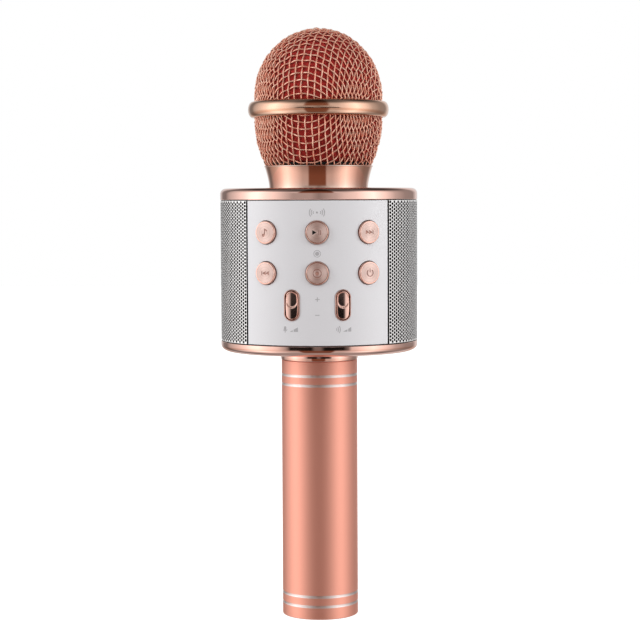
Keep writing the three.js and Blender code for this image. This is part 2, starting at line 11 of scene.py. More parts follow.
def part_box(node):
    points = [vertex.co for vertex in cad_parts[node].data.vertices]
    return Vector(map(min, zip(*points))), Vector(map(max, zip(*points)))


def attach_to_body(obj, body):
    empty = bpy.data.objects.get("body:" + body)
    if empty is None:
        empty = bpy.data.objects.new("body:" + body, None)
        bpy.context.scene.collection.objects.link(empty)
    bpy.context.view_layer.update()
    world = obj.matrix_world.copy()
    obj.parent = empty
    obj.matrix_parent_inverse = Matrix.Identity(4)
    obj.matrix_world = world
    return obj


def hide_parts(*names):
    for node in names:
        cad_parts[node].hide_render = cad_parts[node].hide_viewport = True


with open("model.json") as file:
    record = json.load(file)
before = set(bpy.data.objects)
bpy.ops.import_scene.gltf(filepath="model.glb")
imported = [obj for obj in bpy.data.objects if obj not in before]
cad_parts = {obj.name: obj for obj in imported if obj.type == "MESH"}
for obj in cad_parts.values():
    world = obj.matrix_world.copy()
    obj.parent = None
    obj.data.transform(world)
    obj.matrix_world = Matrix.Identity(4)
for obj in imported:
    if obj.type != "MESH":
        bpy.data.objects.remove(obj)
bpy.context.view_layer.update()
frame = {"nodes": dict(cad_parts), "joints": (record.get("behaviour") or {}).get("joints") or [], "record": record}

# ---------------- sizes

# The frame is in metres. Shapes below are drawn in millimetres, in the same frame: +Z runs up the
# microphone, the control panel faces -Y and an azimuth is measured from the front towards +X.
MM = 0.001


def low(node):
    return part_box(node)[0] / MM


def high(node):
    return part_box(node)[1] / MM


def middle_height(node):
    return (low(node).z + high(node).z) / 2


joints = {joint["name"]: joint for joint in frame["joints"]}

drum_radius = high("top_cap").x
drum_top = high("top_cap").z
drum_bottom = low("bottom_cap").z
panel_top = high("control_panel").z
panel_bottom = low("control_panel").z
panel_angle = math.asin(high("control_panel").x / drum_radius)
port_angle = math.asin(high("port_panel").x / drum_radius)
skin = 1.8  # thickness of the front and rear panels
# The seam reads as a dark line because of black rings of painted shade behind it.
seam = 0.28  # dark line between the drum's walls and its caps
side_gap = 1.0  # the wider one between the front and rear panels and the side grilles
grille_radius = drum_radius - 0.1
grille_thickness = 0.36
hole_pitch = 1.39
hole_radius = 0.58

handle_radius = high("handle_tube").x
handle_top = high("handle_tube").z
plug_radius = high("end_cap").x
handle_bore = plug_radius + 0.1
ring_heights = (5.3, 9.3, handle_top - 9.7, handle_top - 5.9)
ring_width = 1.1

mesh_radius = high("grille_dome").x
mesh_top = high("grille_dome").z
dome_height = 27.9
dome_centre = mesh_top - dome_height
band_bottom = low("grille_band").z
band_top = high("grille_band").z
band_radius = high("grille_band").x
band_middle = (band_bottom + band_top) / 2
collar_top = high("neck_collar").z
collar_bottom = drum_top + 0.1
collar_foot_radius = 20
collar_mouth_radius = high("neck_collar").x
cup_depth = 34.4  # of the ellipsoid whose upper stretch is the mesh cup
wire_pitch = 2.75
wire_radius = 0.28
weave_inset = 2 * wire_radius - 0.05  # from the mesh's outside to the middle of its weave

button_radius = 4.45
button_hole = 4.7
rocker_height = high("rocker_left").z - low("rocker_left").z
rocker_width = rocker_height - 6
bezel_inner = 0.5
bezel_outer = 1.1

# ---------------- material tools


def shader_of(material):
    return material.node_tree.nodes["Principled BSDF"]


def new_material(name, colour, metallic=0.0, roughness=0.5, **inputs):
    """A Principled material; inputs are more of its sockets by name, with _ for a space."""
    material = bpy.data.materials.new(name)
    material.use_nodes = True
    inputs |= {"Base_Color": (*colour, 1), "Metallic": metallic, "Roughness": roughness}
    for key, value in inputs.items():
        shader_of(material).inputs[key.replace("_", " ")].default_value = value
    return material


def add_node(material, kind, inputs=None, **settings):
    node = material.node_tree.nodes.new(kind)
    for key, value in settings.items():
        setattr(node, key, value)
    for key, value in (inputs or {}).items():
        if isinstance(value, bpy.types.NodeSocket):
            material.node_tree.links.new(value, node.inputs[key])
        else:
            node.inputs[key].default_value = value
    return node


def feed(material, socket, name):
    material.node_tree.links.new(socket, shader_of(material).inputs[name])


def object_place(material, stretch=(1, 1, 1)):
    """Object coordinates, stretched."""
    place = add_node(material, "ShaderNodeTexCoord").outputs["Object"]
    inputs = {"Vector": place, "Scale": stretch}
    return add_node(material, "ShaderNodeMapping", inputs).outputs["Vector"]


def noise_of(material, scale, detail, stretch=(1, 1, 1), rough=0.55):
    inputs = {"Scale": scale, "Detail": detail, "Roughness": rough}
    place = object_place(material, stretch)
    return add_node(material, "ShaderNodeTexNoise", {"Vector": place, **inputs}).outputs["Fac"]


def spread(material, socket, low_value, high_value, from_low=0.3, from_high=0.7):
    """Maps a texture's values on to a range."""
    ends = {"From Min": from_low, "From Max": from_high, "To Min": low_value, "To Max": high_value}
    return add_node(material, "ShaderNodeMapRange", {"Value": socket, **ends}).outputs["Result"]


def tint(material, socket, dark, light, position=(0.3, 0.7)):
    """Feeds the base colour from a texture, between two colours."""
    ramp = add_node(material, "ShaderNodeValToRGB", {"Fac": socket})
    for element, place, colour in zip(ramp.color_ramp.elements, position, (dark, light)):
        element.position = place
        element.color = (*colour, 1)
    feed(material, ramp.outputs["Color"], "Base Color")


def aslant(material):
    """0 where the surface faces the viewer, 1 where it's seen edge on."""
    return add_node(material, "ShaderNodeLayerWeight", {"Blend": 0.5}).outputs["Facing"]


def bump(material, socket, strength, distance_mm):
    inputs = {"Height": socket, "Strength": strength, "Distance": distance_mm * MM}
    feed(material, add_node(material, "ShaderNodeBump", inputs).outputs["Normal"], "Normal")


# ---------------- materials


def grained(name, colours, pattern, metallic=0.0, rough=None, relief=None, **inputs):
    """A material of one colour or two, with one noise in its colour, its roughness and its relief."""
    material = new_material(name, colours[0], metallic, **inputs)
    grain = noise_of(material, *pattern)
    if len(colours) > 1:
        tint(material, grain, *colours)
    if rough:
        feed(material, spread(material, grain, *rough), "Roughness")
    if relief:
        bump(material, grain, *relief)
    return material


def polished(name, colour, roughness=0.05):
    """Plated metal with faint wipe marks and a trace of orange peel."""
    material = new_material(name, colour, 1.0)
    smears = noise_of(material, 90, 5, (1, 1, 0.4))
    feed(material, spread(material, smears, roughness * 0.75, roughness * 1.6), "Roughness")
    bump(material, noise_of(material, 260, 2), 0.05, 0.02)
    return material


def gold_with_painted_side_shade():
    """Polished plating whose colour deepens towards the sides, where the surface is seen aslant: painted shade in
    its reflections.
    """
    pale, deep = (0.83, 0.69, 0.60), (0.81, 0.48, 0.37)
    material = polished("collar_gold", pale)
    # Painted shade: the plating's colour deepens where the collar is seen edge on.
    tint(material, aslant(material), pale, deep, (0.2, 0.5))
    return material


def satin_anodised():
    """Fine-blasted aluminium, dyed."""
    colours = [(0.93, 0.43, 0.33)]
    return grained("satin_rose_gold", colours, (4200, 2), 0.74, (0.33, 0.44), (0.12, 0.02))


def spun_metal(name, colour):
    """Metal brushed in circles about the piece's own Z axis."""
    material = new_material(name, colour, 0.72, Anisotropic=0.96, Anisotropic_Rotation=0.25)
    tangent = add_node(material, "ShaderNodeTangent", direction_type="RADIAL", axis="Z")
    feed(material, tangent.outputs["Tangent"], "Tangent")
    place = add_node(material, "ShaderNodeTexCoord").outputs["Object"]
    split = add_node(material, "ShaderNodeSeparateXYZ", {"Vector": place})
    flat = add_node(material, "ShaderNodeCombineXYZ", {"X": split.outputs["X"], "Y": split.outputs["Y"]})
    inputs = {"Vector": flat.outputs["Vector"]}
    radius = add_node(material, "ShaderNodeVectorMath", inputs, operation="LENGTH").outputs["Value"]

    def rings(scale, detail):
        inputs = {"W": radius, "Scale": scale, "Detail": detail}
        return add_node(material, "ShaderNodeTexNoise", inputs, noise_dimensions="1D").outputs["Fac"]

    scratches = rings(6500, 3.0)
    feed(material, spread(material, scratches, 0.33, 0.47), "Roughness")
    tint(material, rings(2400, 2.0), tuple(0.8 * part for part in colour), colour)
    bump(material, scratches, 0.3, 0.02)
    return material


def lacquer():
    """Fine metallic lacquer, near white."""
    colours = [(0.705, 0.715, 0.745), (0.745, 0.755, 0.785)]
    looks = {"roughness": 0.38, "relief": (0.04, 0.01), "Coat_Weight": 0.15, "Coat_Roughness": 0.3}
    return grained("silver_lacquer", colours, (5200, 2), **looks)


def sheet_metal():
    """Bright sheet, drawn lengthwise."""
    grain = (700, 4, (1, 1, 0.05))
    return grained("perforated_steel", [(1, 1, 1)], grain, 0.42, (0.22, 0.32), (0.05, 0.01))


def bare_metal(name, colour, roughness):
    """Plain metal with an even grain."""
    rough = (roughness * 0.8, roughness * 1.3)
    return grained(name, [colour], (900, 4), 1.0, rough, (0.1, 0.02))


def wire_metal():
    """Plated wire, a little uneven in colour."""
    colours = [(0.95, 0.41, 0.28), (1.0, 0.66, 0.51), (0.36, 0.64)]
    return grained("grille_wire", colours, (500, 3), 0.5, (0.12, 0.26))


def foam():
    """Open-cell foam: lighter cell walls round small dark pores, with painted shade that darkens it where it's
    seen aslant.
    """
    pore, wall = (0.09, 0.005, 0.004), (0.39, 0.024, 0.020)
    sheen = {"Sheen_Weight": 0.15, "Sheen_Tint": (0.8, 0.2, 0.15, 1)}
    material = new_material("foam", wall, roughness=1.0, **sheen)
    inputs = {"Vector": object_place(material), "Scale": 1500}
    pores = add_node(material, "ShaderNodeTexVoronoi", inputs).outputs["Distance"]
    # Painted shade: the foam's colour is pulled darker where its surface is seen edge on.
    inputs = {0: aslant(material), 1: -0.45, 2: pores}
    pores_and_painted_shade = add_node(material, "ShaderNodeMath", inputs, operation="MULTIPLY_ADD").outputs["Value"]
    tint(material, pores_and_painted_shade, pore, wall, (0.0, 0.55))
    bump(material, pores, 0.8, 0.25)
    return material


def moulded(name, colour, roughness=0.55, grain_scale=1800, strength=0.2):
    """Moulded plastic or rubber with a fine spark-eroded grain."""
    rough = (roughness * 0.85, roughness * 1.15)
    return grained(name, [colour], (grain_scale, 3), 0.0, rough, (strength, 0.05))


def circuit_board():
    """Green solder mask with paler copper lands showing through."""
    land, mask = (0.05, 0.27, 0.13), (0.015, 0.13, 0.06)
    material = new_material("circuit_board", mask, roughness=0.35)
    inputs = {"Vector": object_place(material), "Scale": 450}
    lands = add_node(material, "ShaderNodeTexVoronoi", inputs, distance="CHEBYCHEV").outputs["Distance"]
    tint(material, lands, land, mask, (0.22, 0.26))
    bump(material, lands, 0.2, 0.03)
    return material


def cone_paper():
    """Pressed black paper with visible fibres."""
    fibres = (900, 6, (1, 1, 1), 0.7)
    colours = [(0.016, 0.016, 0.017), (0.05, 0.05, 0.052)]
    return grained("cone_paper", colours, fibres, roughness=0.8, relief=(0.4, 0.06))


def shrink_wrap():
    """Glossy blue film, slightly rippled."""
    ripple = (130, 3, (1, 1, 0.2))
    colours = [(0.04, 0.16, 0.37), (0.06, 0.22, 0.47)]
    looks = {"roughness": 0.3, "relief": (0.15, 0.1), "Coat_Weight": 0.4}
    return grained("cell_wrap", colours, ripple, **looks)


def cloth():
    """Black speaker cloth."""
    colours = [(0.003, 0.003, 0.003), (0.014, 0.014, 0.015)]
    return grained("speaker_cloth", colours, (2600, 2), roughness=1.0, relief=(0.5, 0.05))


def print_ink():
    """Grey ink, faintly speckled."""
    colours = [(0.38, 0.38, 0.40), (0.47, 0.47, 0.49)]
    return grained("print_ink", colours, (3000, 2), roughness=0.6)


finishes = {
    "polished_rose_gold": polished("polished_rose_gold", (0.92, 0.58, 0.49)),
    "brushed_rose_gold": spun_metal("brushed_rose_gold", (1.0, 0.75, 0.68)),
    "satin_rose_gold": satin_anodised(),
    "grille_wire": wire_metal(),
    "foam": foam(),
    "silver_lacquer": lacquer(),
    "perforated_steel": sheet_metal(),
    "black_plastic": moulded("black_plastic", (0.018, 0.018, 0.02)),
    "circuit_board": circuit_board(),
    "bare_steel": bare_metal("bare_steel", (0.60, 0.61, 0.63), 0.3),
    "cone_paper": cone_paper(),
    "rubber": moulded("rubber", (0.014, 0.014, 0.014), 0.8, 900, 0.35),
    "cell_wrap": shrink_wrap(),
}
band_gold = polished("champagne_gold", (0.88, 0.54, 0.39), 0.1)
collar_gold = gold_with_painted_side_shade()
cut_silver = bare_metal("cut_silver", (0.90, 0.80, 0.78), 0.35)
# Painted shade: a dark material for the walls of the grille's holes, so the holes read dark.
hole_wall_shade = moulded("hole_wall_shade", (0.13, 0.13, 0.135), 0.5)
speaker_cloth = cloth()
ink = print_ink()
engraving = moulded("engraving", (0.50, 0.27, 0.22), 0.5)
black_fill = moulded("black_fill", (0.01, 0.01, 0.01), 0.4)

# ---------------- mesh tools

def arc(centre, radii, start, end, steps):
    """Points of a circular or elliptical arc, from one angle to another in degrees."""
    points = []
    for i in range(steps + 1):
        angle = math.radians(start + (end - start) * i / steps)
        points.append((centre[0] + radii[0] * math.cos(angle), centre[1] + radii[1] * math.sin(angle)))
    return points


def edge_top(radius, height, edge, steps):
    """A rounded upper edge of a turned outline."""
    return arc((radius - edge, height - edge), (edge, edge), 0, 90, steps)


def edge_foot(radius, height, edge, steps):
    """A rounded lower edge of a turned outline."""
    return arc((radius - edge, height + edge), (edge, edge), -90, 0, steps)


def turned(profile, segments=160):
    """Points and faces of a solid turned about Z; the profile lists (radius, height) anticlockwise."""
    points, faces, rings = [], [], []
    for radius, height in profile:
        if radius < 1e-6:
            rings.append([len(points)] * segments)
            points.append((0, 0, height))
            continue
        rings.append(range(len(points), len(points) + segments))
        for i in range(segments):
            turn = 2 * math.pi * i / segments
            points.append((radius * math.sin(turn), -radius * math.cos(turn), height))
    pairs = list(zip(rings, rings[1:]))
    if profile[0][0] > 1e-6:
        pairs.append((rings[-1], rings[0]))
    for lower, upper in pairs:
        for i in range(segments):
            j = (i + 1) % segments
            corners = list(dict.fromkeys((lower[i], lower[j], upper[j], upper[i])))
            if len(corners) > 2:
                faces.append(corners)
    return points, faces


def swept(path, radius):
    """Points and faces of a round wire along a path."""
    sides = 6
    points, faces = [], []
    across = None
    for i, place in enumerate(path):
        ahead = (path[min(i + 1, len(path) - 1)] - path[max(i - 1, 0)]).normalized()
        across = ahead.orthogonal() if across is None else across - ahead * across.dot(ahead)
        across.normalize()
        other = ahead.cross(across)
        for k in range(sides):
            turn = 2 * math.pi * k / sides
            points.append(place + (across * math.cos(turn) + other * math.sin(turn)) * radius)
    for i in range(len(path) - 1):
        for k in range(sides):
            a, b = i * sides + k, i * sides + (k + 1) % sides
            faces.append((a, b, b + sides, a + sides))
    faces.append(tuple(reversed(range(sides))))
    faces.append(tuple(range(len(points) - sides, len(points))))
    return points, faces


def merged(shapes):
    """One list of points and faces from several."""
    points, faces = [], []
    for more_points, more_faces in shapes:
        start = len(points)
        points += list(more_points)
        faces += [[start + corner for corner in face] for face in more_faces]
    return points, faces


def prism(outline, bottom, top):
    """An outline in X and Y given thickness along Z; the outline runs anticlockwise."""
    count = len(outline)
    points = [(x, y, bottom) for x, y in outline] + [(x, y, top) for x, y in outline]
    faces = [tuple(reversed(range(count))), tuple(range(count, 2 * count))]
    for i in range(count):
        j = (i + 1) % count
        faces.append((i, j, count + j, count + i))
    return points, faces


def wall_frame(azimuth, height):
    """A place on the drum's wall: Z points out from the drum's axis, X runs level and Y up."""
    turn = Matrix.Rotation(azimuth, 4, "Z") @ Matrix.Rotation(math.pi / 2, 4, "X")
    return Matrix.Translation((0, 0, height * MM)) @ turn


def wrapped(point, radius):
    """A point of a flat drawing (along the wall, up, out of the wall) on a drum of that radius."""
    azimuth = point[0] / radius
    reach = radius + point[2]
    return (reach * math.sin(azimuth), -reach * math.cos(azimuth), point[1])


def add_object(name, data):
    thing = bpy.data.objects.new(name, data)
    bpy.context.scene.collection.objects.link(thing)
    return thing


def object_from(name, shape, material, place=None):
    points, faces = shape
    mesh = bpy.data.meshes.new(name)
    mesh.from_pydata([Vector(point) * MM for point in points], [], faces)
    mesh.materials.append(material)
    thing = add_object(name, mesh)
    if place is not None:
        thing.matrix_world = place
    return thing


@contextmanager
def editing(thing):
    """Opens a piece's mesh for editing, then turns all its faces outwards."""
    work = bmesh.new()
    work.from_mesh(thing.data)
    yield work
    bmesh.ops.recalc_face_normals(work, faces=work.faces)
    work.to_mesh(thing.data)
    work.free()


def outward(thing):
    """Turns all faces outwards."""
    with editing(thing):
        pass


def smooth(thing, crease=35):
    thing.data.shade_smooth()
    thing.data.set_sharp_from_angle(angle=math.radians(crease))


def final_mesh(thing):
    """The mesh that an object's modifiers or curve settings make of it."""
    graph = bpy.context.evaluated_depsgraph_get()
    return bpy.data.meshes.new_from_object(thing.evaluated_get(graph))


def settle(thing):
    """Turns a piece's modifiers into plain mesh."""
    mesh = final_mesh(thing)
    thing.modifiers.clear()
    thing.data = mesh


def attach(thing, body, stands_for=()):
    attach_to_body(thing, body)
    if stands_for:
        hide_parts(*stands_for)
    return thing


def add_piece(name, shape, body, slot, stands_for=(), material=None, place=None, crease=35):
    """A finished piece: faces out, smooth, riding on its body."""
    thing = object_from(name, shape, material or finishes[slot], place)
    outward(thing)
    smooth(thing, crease)
    return attach(thing, body, stands_for)


def second_material(thing, material, chosen):
    """Gives the faces whose middle is chosen another material."""
    thing.data.materials.append(material)
    index = len(thing.data.materials) - 1
    for face in thing.data.polygons:
        if chosen(face.center / MM):
            face.material_index = index


def point_outwards(thing, radius):
    """Shades the faces on the drum's outer surface with the drum's own round normals."""
    mesh = thing.data
    play, tilt = 0.03, 0.1  # a face further off the surface than that isn't on it
    normals = [(0.0, 0.0, 0.0)] * len(mesh.loops)
    for face in mesh.polygons:
        middle = face.center / MM
        flat = math.hypot(middle.x, middle.y)
        if abs(flat - radius) > play or abs(face.normal.z) > tilt:
            continue
        for loop in face.loop_indices:
            corner = mesh.vertices[mesh.loops[loop].vertex_index].co
            normals[loop] = Vector((corner.x, corner.y, 0)).normalized()[:]
    mesh.normals_split_custom_set(normals)


# ---------------- wire mesh


def bowl(centre_height, depth, side):
    """The bowl's surface as a function: its value is 0 on the surface, with its slope."""
    radius = mesh_radius - weave_inset
    flatten = (radius / (depth - weave_inset)) ** 2

    def surface(point):
        beyond = max(0.0, side * (point.z - centre_height))
        value = point.x**2 + point.y**2 + flatten * beyond**2 - radius**2
        slope = Vector((2 * point.x, 2 * point.y, 2 * flatten * beyond * side))
        return value, slope

    return surface


def meet(guess, conditions):
    """Moves a guess until three conditions, each giving a value and a slope, are all 0."""
    rounds = 12
    close_enough = 2e-4
    for _ in range(rounds):
        found = [condition(guess) for condition in conditions]
        rows = Matrix([slope for _, slope in found])
        if abs(rows.determinant()) < 1e-9:
            return None
        step = rows.inverted() @ Vector([value for value, _ in found])
        guess = guess - step
        if step.length < close_enough:
            return guess
    return None


def apart(other, distance):
    """The condition of being a distance from another point."""
    return lambda point: ((point - other).length_squared - distance**2, 2 * (point - other))


def in_plane(normal):
    return lambda point: (normal.dot(point), normal)


def net_knots(surface, pole, reach):
    """Knots of a square net draped from a pole over a surface, each side one wire pitch long."""
    knots = {(0, 0): pole}
    for x, y in ((1, 0), (-1, 0), (0, 1), (0, -1)):
        across = Vector((abs(y), abs(x), 0))
        heading = Vector((x, y, 0)) * wire_pitch
        last = pole
        for n in range(1, reach + 1):
            here = meet(last + heading, (surface, in_plane(across), apart(last, wire_pitch)))
            if here is None:
                break
            knots[(x * n, y * n)] = here
            heading, last = here - last, here
    counts = range(1, reach + 1)
    for right, up, i, j in product((1, -1), (1, -1), counts, counts):
        corner = knots.get(((i - 1) * right, (j - 1) * up))
        beside = knots.get((i * right, (j - 1) * up))
        above = knots.get(((i - 1) * right, j * up))
        if corner is None or beside is None or above is None:
            continue
        conditions = (surface, apart(beside, wire_pitch), apart(above, wire_pitch))
        here = meet(beside + above - corner, conditions)
        if here is not None and (here - corner).length > 0.25 * wire_pitch:
            knots[(i * right, j * up)] = here
    return knots


def curve_through(points, steps):
    """A smooth path through points, with a number of steps between each two."""
    path = []
    for i in range(len(points) - 1):
        before = points[max(i - 1, 0)]
        here, there = points[i], points[i + 1]
        after = points[min(i + 2, len(points) - 1)]
        for k in range(steps):
            t = k / steps
            pull = 2 * here + (there - before) * t
            bend = (2 * before - 5 * here + 4 * there - after) * t**2
            twist = (3 * here - before - 3 * there + after) * t**3
            path.append((pull + bend + twist) / 2)
    path.append(points[-1])
    return path


def between(path, bottom, top):
    """The stretches of a path that lie between two heights."""
    shortest = 4  # points
    stretches, current = [], []
    for here, there in zip(path, path[1:]):
        if bottom <= here.z <= top:
            current.append(here)
        for edge in (bottom, top):
            if (here.z - edge) * (there.z - edge) < 0:
                current.append(here.lerp(there, (edge - here.z) / (there.z - here.z)))
        if current and not bottom <= there.z <= top:
            stretches.append(current)
            current = []
    if current:
        stretches.append(current + [path[-1]])
    return [stretch for stretch in stretches if len(stretch) >= shortest]


noise.seed_set(1)  # without a seed, the noise's vectors depend on the clock


def crooked(point):
    """A point of the weave, moved a little so that the wires don't run quite evenly."""
    wander = 0.26
    return point + wander * noise.noise_vector(point * 0.35)


def woven_bowl(name, surface, pole, turn_degrees, bottom, top, stands_for):
    """Plain-woven wire draped over a bowl, each wire passing over and under the ones it crosses."""
    reach = 22  # knots from the pole, more than the bowl holds
    wave = 1.2 * wire_radius
    knots = net_knots(surface, pole, reach)
    turn = Matrix.Rotation(math.radians(turn_degrees), 3, "Z")
    wires = []
    for along, line in product((0, 1), range(-reach, reach + 1)):
        runs, run = [], []
        for n in range(-reach, reach + 2):
            key = (line, n) if along else (n, line)
            if key not in knots:
                if len(run) > 1:
                    runs.append(run)
                run = []
                continue
            out = surface(knots[key])[1].normalized()
            over = 1 if (line + n + along) % 2 else -1
            run.append(turn @ (crooked(knots[key]) + out * over * wave))
        for run in runs:
            for stretch in between(curve_through(run, 4), bottom, top):
                wires.append(swept(stretch, wire_radius))
    add_piece(name, merged(wires), "head", "grille_wire", stands_for, crease=70)


def build_grille():
    cup_bottom = collar_top - 0.7
    dome = bowl(dome_centre, dome_height, 1)
    apex = Vector((0, 0, mesh_top - weave_inset))
    woven_bowl("woven_dome", dome, apex, -14.5, band_middle, mesh_top + 1, ["grille_dome"])
    cup = bowl(band_bottom, cup_depth, -1)
    pole = Vector((0, 0, band_bottom - cup_depth + weave_inset))
    woven_bowl("woven_cup", cup, pole, -11, cup_bottom, band_middle, ["grille_cup"])


# ---------------- head


def build_band():
    """The polished ring that clamps the two bowls: a round outer face between two thin lips."""
    bore = mesh_radius + 0.1
    lip = 0.35
    shoulder = bore + lip + 0.3
    crown = band_radius - shoulder
    half_height = (band_top - band_bottom) / 2
    face = arc((shoulder, band_middle), (crown, half_height - 0.1), -88, 88, 26)
    foot = [(bore, band_bottom), (bore + lip, band_bottom), (bore + lip + 0.2, band_bottom + 0.12)]
    head = [(r, 2 * band_middle - z) for r, z in reversed(foot)]
    shape = turned([*foot, *face, *head])
    add_piece("clamp_band", shape, "head", "polished_rose_gold", ["grille_band"], band_gold)


def build_foam():
    """Foam lining with a soft, slightly uneven surface, on a rubber seat in the collar's mouth."""
    inset = 1.05
    foot = collar_top + 0.9
    cavity = 15
    outer = mesh_radius - inset
    side = []
    for i in range(24):
        height = foot + (band_bottom - foot) * i / 24
        drop = (band_bottom - height) / cup_depth
        side.append((mesh_radius * math.sqrt(1 - drop**2) - inset, height))
    peak = dome_height - inset
    dome = arc((0, dome_centre), (outer, peak), 0, 90, 40)[:-1] + [(0, dome_centre + peak)]
    middle = dome_centre + 2
    hollow = [(0, middle + cavity), *arc((0, middle), (cavity, cavity), 90, 0, 12)[1:]]
    rounded = [(cavity, foot + 1), (cavity + 1, foot), (side[0][0] - 1, foot)]
    points, faces = turned([*hollow, *rounded, *side[1:], *dome], 120)
    uneven = []
    for point in points:
        place = Vector(point)
        swell = 0.25 * noise.noise(place * 0.22) + 0.12 * noise.noise(place * 0.9)
        uneven.append(place + Vector((place.x, place.y, 0)).normalized() * swell)
    add_piece("foam_lining", (uneven, faces), "head", "foam", ["foam_windscreen"], crease=60)
    seat_top, seat_foot = foot + 0.2, collar_top - 0.9
    bore = collar_mouth_radius - 2.8
    seat = [(bore, seat_foot), (bore + 1.4, seat_foot), (bore + 1.7, seat_top), (bore, seat_top)]
    add_piece("foam_seat", turned(seat), "head", "rubber", ["foam_windscreen"])


def stepped(radius, change, first, pitch, count, rises):
    """Repeated steps of a turned outline, its radius changed from the second rise to the third."""
    outline = []
    for i in range(count):
        heights = [first + pitch * i + rise for rise in rises]
        outline += zip((radius, radius + change, radius + change, radius), heights)
    return outline


def build_collar():
    """Concave flare with a fine rolled lip, and the threaded spigot below it."""
    rise = collar_top - collar_bottom
    lip = 0.4
    bore = 16.5
    spigot = 17.7
    thread_depth = 0.3
    widening = collar_mouth_radius - collar_foot_radius
    flare = []
    for i in range(21):
        part = i / 20 * (1 - 1.6 * lip / rise)
        flare.append((collar_foot_radius + widening * part**1.5, collar_bottom + rise * part))
    roll = arc((collar_mouth_radius - lip + 0.05, collar_top - lip), (lip, lip), -20, 150, 9)
    mouth = [(collar_mouth_radius - 1, collar_top - 0.8), (bore + 2.1, collar_top - 2.2)]
    foot = low("neck_collar").z
    thread = stepped(spigot, thread_depth, foot + 0.5, 1, 4, (0, 0.35, 0.5, 0.85))
    seat = [(spigot + thread_depth, collar_bottom), (collar_foot_radius - 0.25, collar_bottom)]
    outside = [(bore, foot), (spigot, foot), *thread, *seat, *flare, *roll]
    shape = turned([*outside, *mouth, (bore, collar_top - 5.7)])
    add_piece("flared_collar", shape, "head", "polished_rose_gold", ["neck_collar"], collar_gold)


def build_capsule():
    """The microphone capsule in its rubber mount on a hollow post, seen when the head is off."""
    foot, top = low("capsule_post").z, high("capsule_post").z
    bore, radius, flange = 6, 8.5, high("capsule_post").y
    fillet = reversed(arc((radius + 3, foot + 5), (3, 3), 180, 270, 8))
    post = [(bore, foot), (flange, foot), (flange, foot + 2), *fillet, (radius, top), (bore, top)]
    add_piece("post", turned(post), "body", "black_plastic", ["capsule_post"])

    foot, top = low("capsule_mount").z, high("capsule_mount").z
    outer = high("capsule_mount").y
    ribs = stepped(outer, -0.35, foot + 2, 2, 5, (0, 0.3, 0.9, 1.2))
    edge = edge_top(outer, top, 0.6, 5)
    inner, floor = outer - 1.8, foot + 1.9
    cup = [(bore, foot), (outer - 0.4, foot), (outer, foot + 0.4), *ribs, *edge]
    cup += [(inner, top), (inner, floor), (bore, floor)]
    add_piece("rubber_mount", turned(cup), "body", "rubber", ["capsule_mount"])

    foot, top = low("mic_capsule").z, high("mic_capsule").z
    radius = high("mic_capsule").y
    bulge = 3
    shoulder = top - bulge
    slots = stepped(radius, -0.3, shoulder - 4.5, 1.3, 3, (0, 0, 0.6, 0.6))
    can = [(0, foot), (radius - 0.4, foot), (radius, foot + 0.4), *slots]
    can += [(radius, shoulder - 0.3), (radius - 0.3, shoulder)]
    cap = arc((0, shoulder), (radius - 1, bulge), 0, 90, 12)[:-1]
    add_piece("capsule_body", turned([*can, *cap, (0, top)]), "body", "bare_steel", ["mic_capsule"])


# ---------------- drum


def build_top_cap():
    """A disc with a rounded edge, a low wall below it and a fine groove round the collar."""
    chamfer = 0.15
    wall_foot = panel_top + 0.1
    underside = drum_top - 2
    inner = drum_radius - 2
    hole = 18.4
    outside = [(drum_radius - chamfer, wall_foot), (drum_radius, wall_foot + chamfer)]
    outside += edge_top(drum_radius, drum_top, 2.2, 14)
    groove = zip((0.6, 0.45, 0.15, 0.0), (0, -0.12, -0.12, 0))
    outside += [(collar_foot_radius + out, drum_top + rise) for out, rise in groove]
    inside = [(hole, drum_top), (hole, underside), (inner - 1.4, underside)]
    inside += [(inner, underside - 1), (inner, wall_foot)]
    add_piece("upper_cap", turned([*outside, *inside]), "body", "polished_rose_gold", ["top_cap"])


def build_bottom_cap():
    """A disc with a wide elliptical edge and a low wall above it."""
    reach, rise = 4, 2.6
    chamfer = 0.15
    wall_top = panel_bottom - 0.1
    floor = drum_bottom + 1.8
    inner = drum_radius - 2
    hole = 9.3
    edge = arc((drum_radius - reach, drum_bottom + rise), (reach, rise), -90, 0, 16)
    rim = [(drum_radius, wall_top - chamfer), (drum_radius - chamfer, wall_top)]
    inside = [(inner, wall_top), (inner, floor + 1), (inner - 2, floor)]
    shape = turned([(hole, drum_bottom), *edge, *rim, *inside, (hole, floor)])
    add_piece("lower_cap", shape, "body", "polished_rose_gold", ["bottom_cap"])


def circle(radius, x=0.0, y=0.0, count=48):
    return arc((x, y), (radius, radius), 0, 360, count)[:-1]


def pill(width, height, x=0.0, y=0.0, steps=16):
    """An upright pill outline."""
    radius = width / 2
    straight = height / 2 - radius
    upper = arc((x, y + straight), (radius, radius), 0, 180, steps)
    lower = arc((x, y - straight), (radius, radius), 180, 360, steps)
    return upper + lower


def rectangle(left, bottom, right, top):
    return [(left, bottom), (right, bottom), (right, top), (left, top)]


def rounded_box(half_width, half_height, corner, y=0.0):
    """A rectangle outline with rounded corners, about X 0 and a height."""
    x, rise = half_width - corner, half_height - corner
    middles = ((x, y + rise), (-x, y + rise), (-x, y - rise), (x, y - rise))
    outline = []
    for quarter, middle in enumerate(middles):
        outline += arc(middle, (corner, corner), 90 * quarter, 90 * quarter + 90, 5)
    return outline


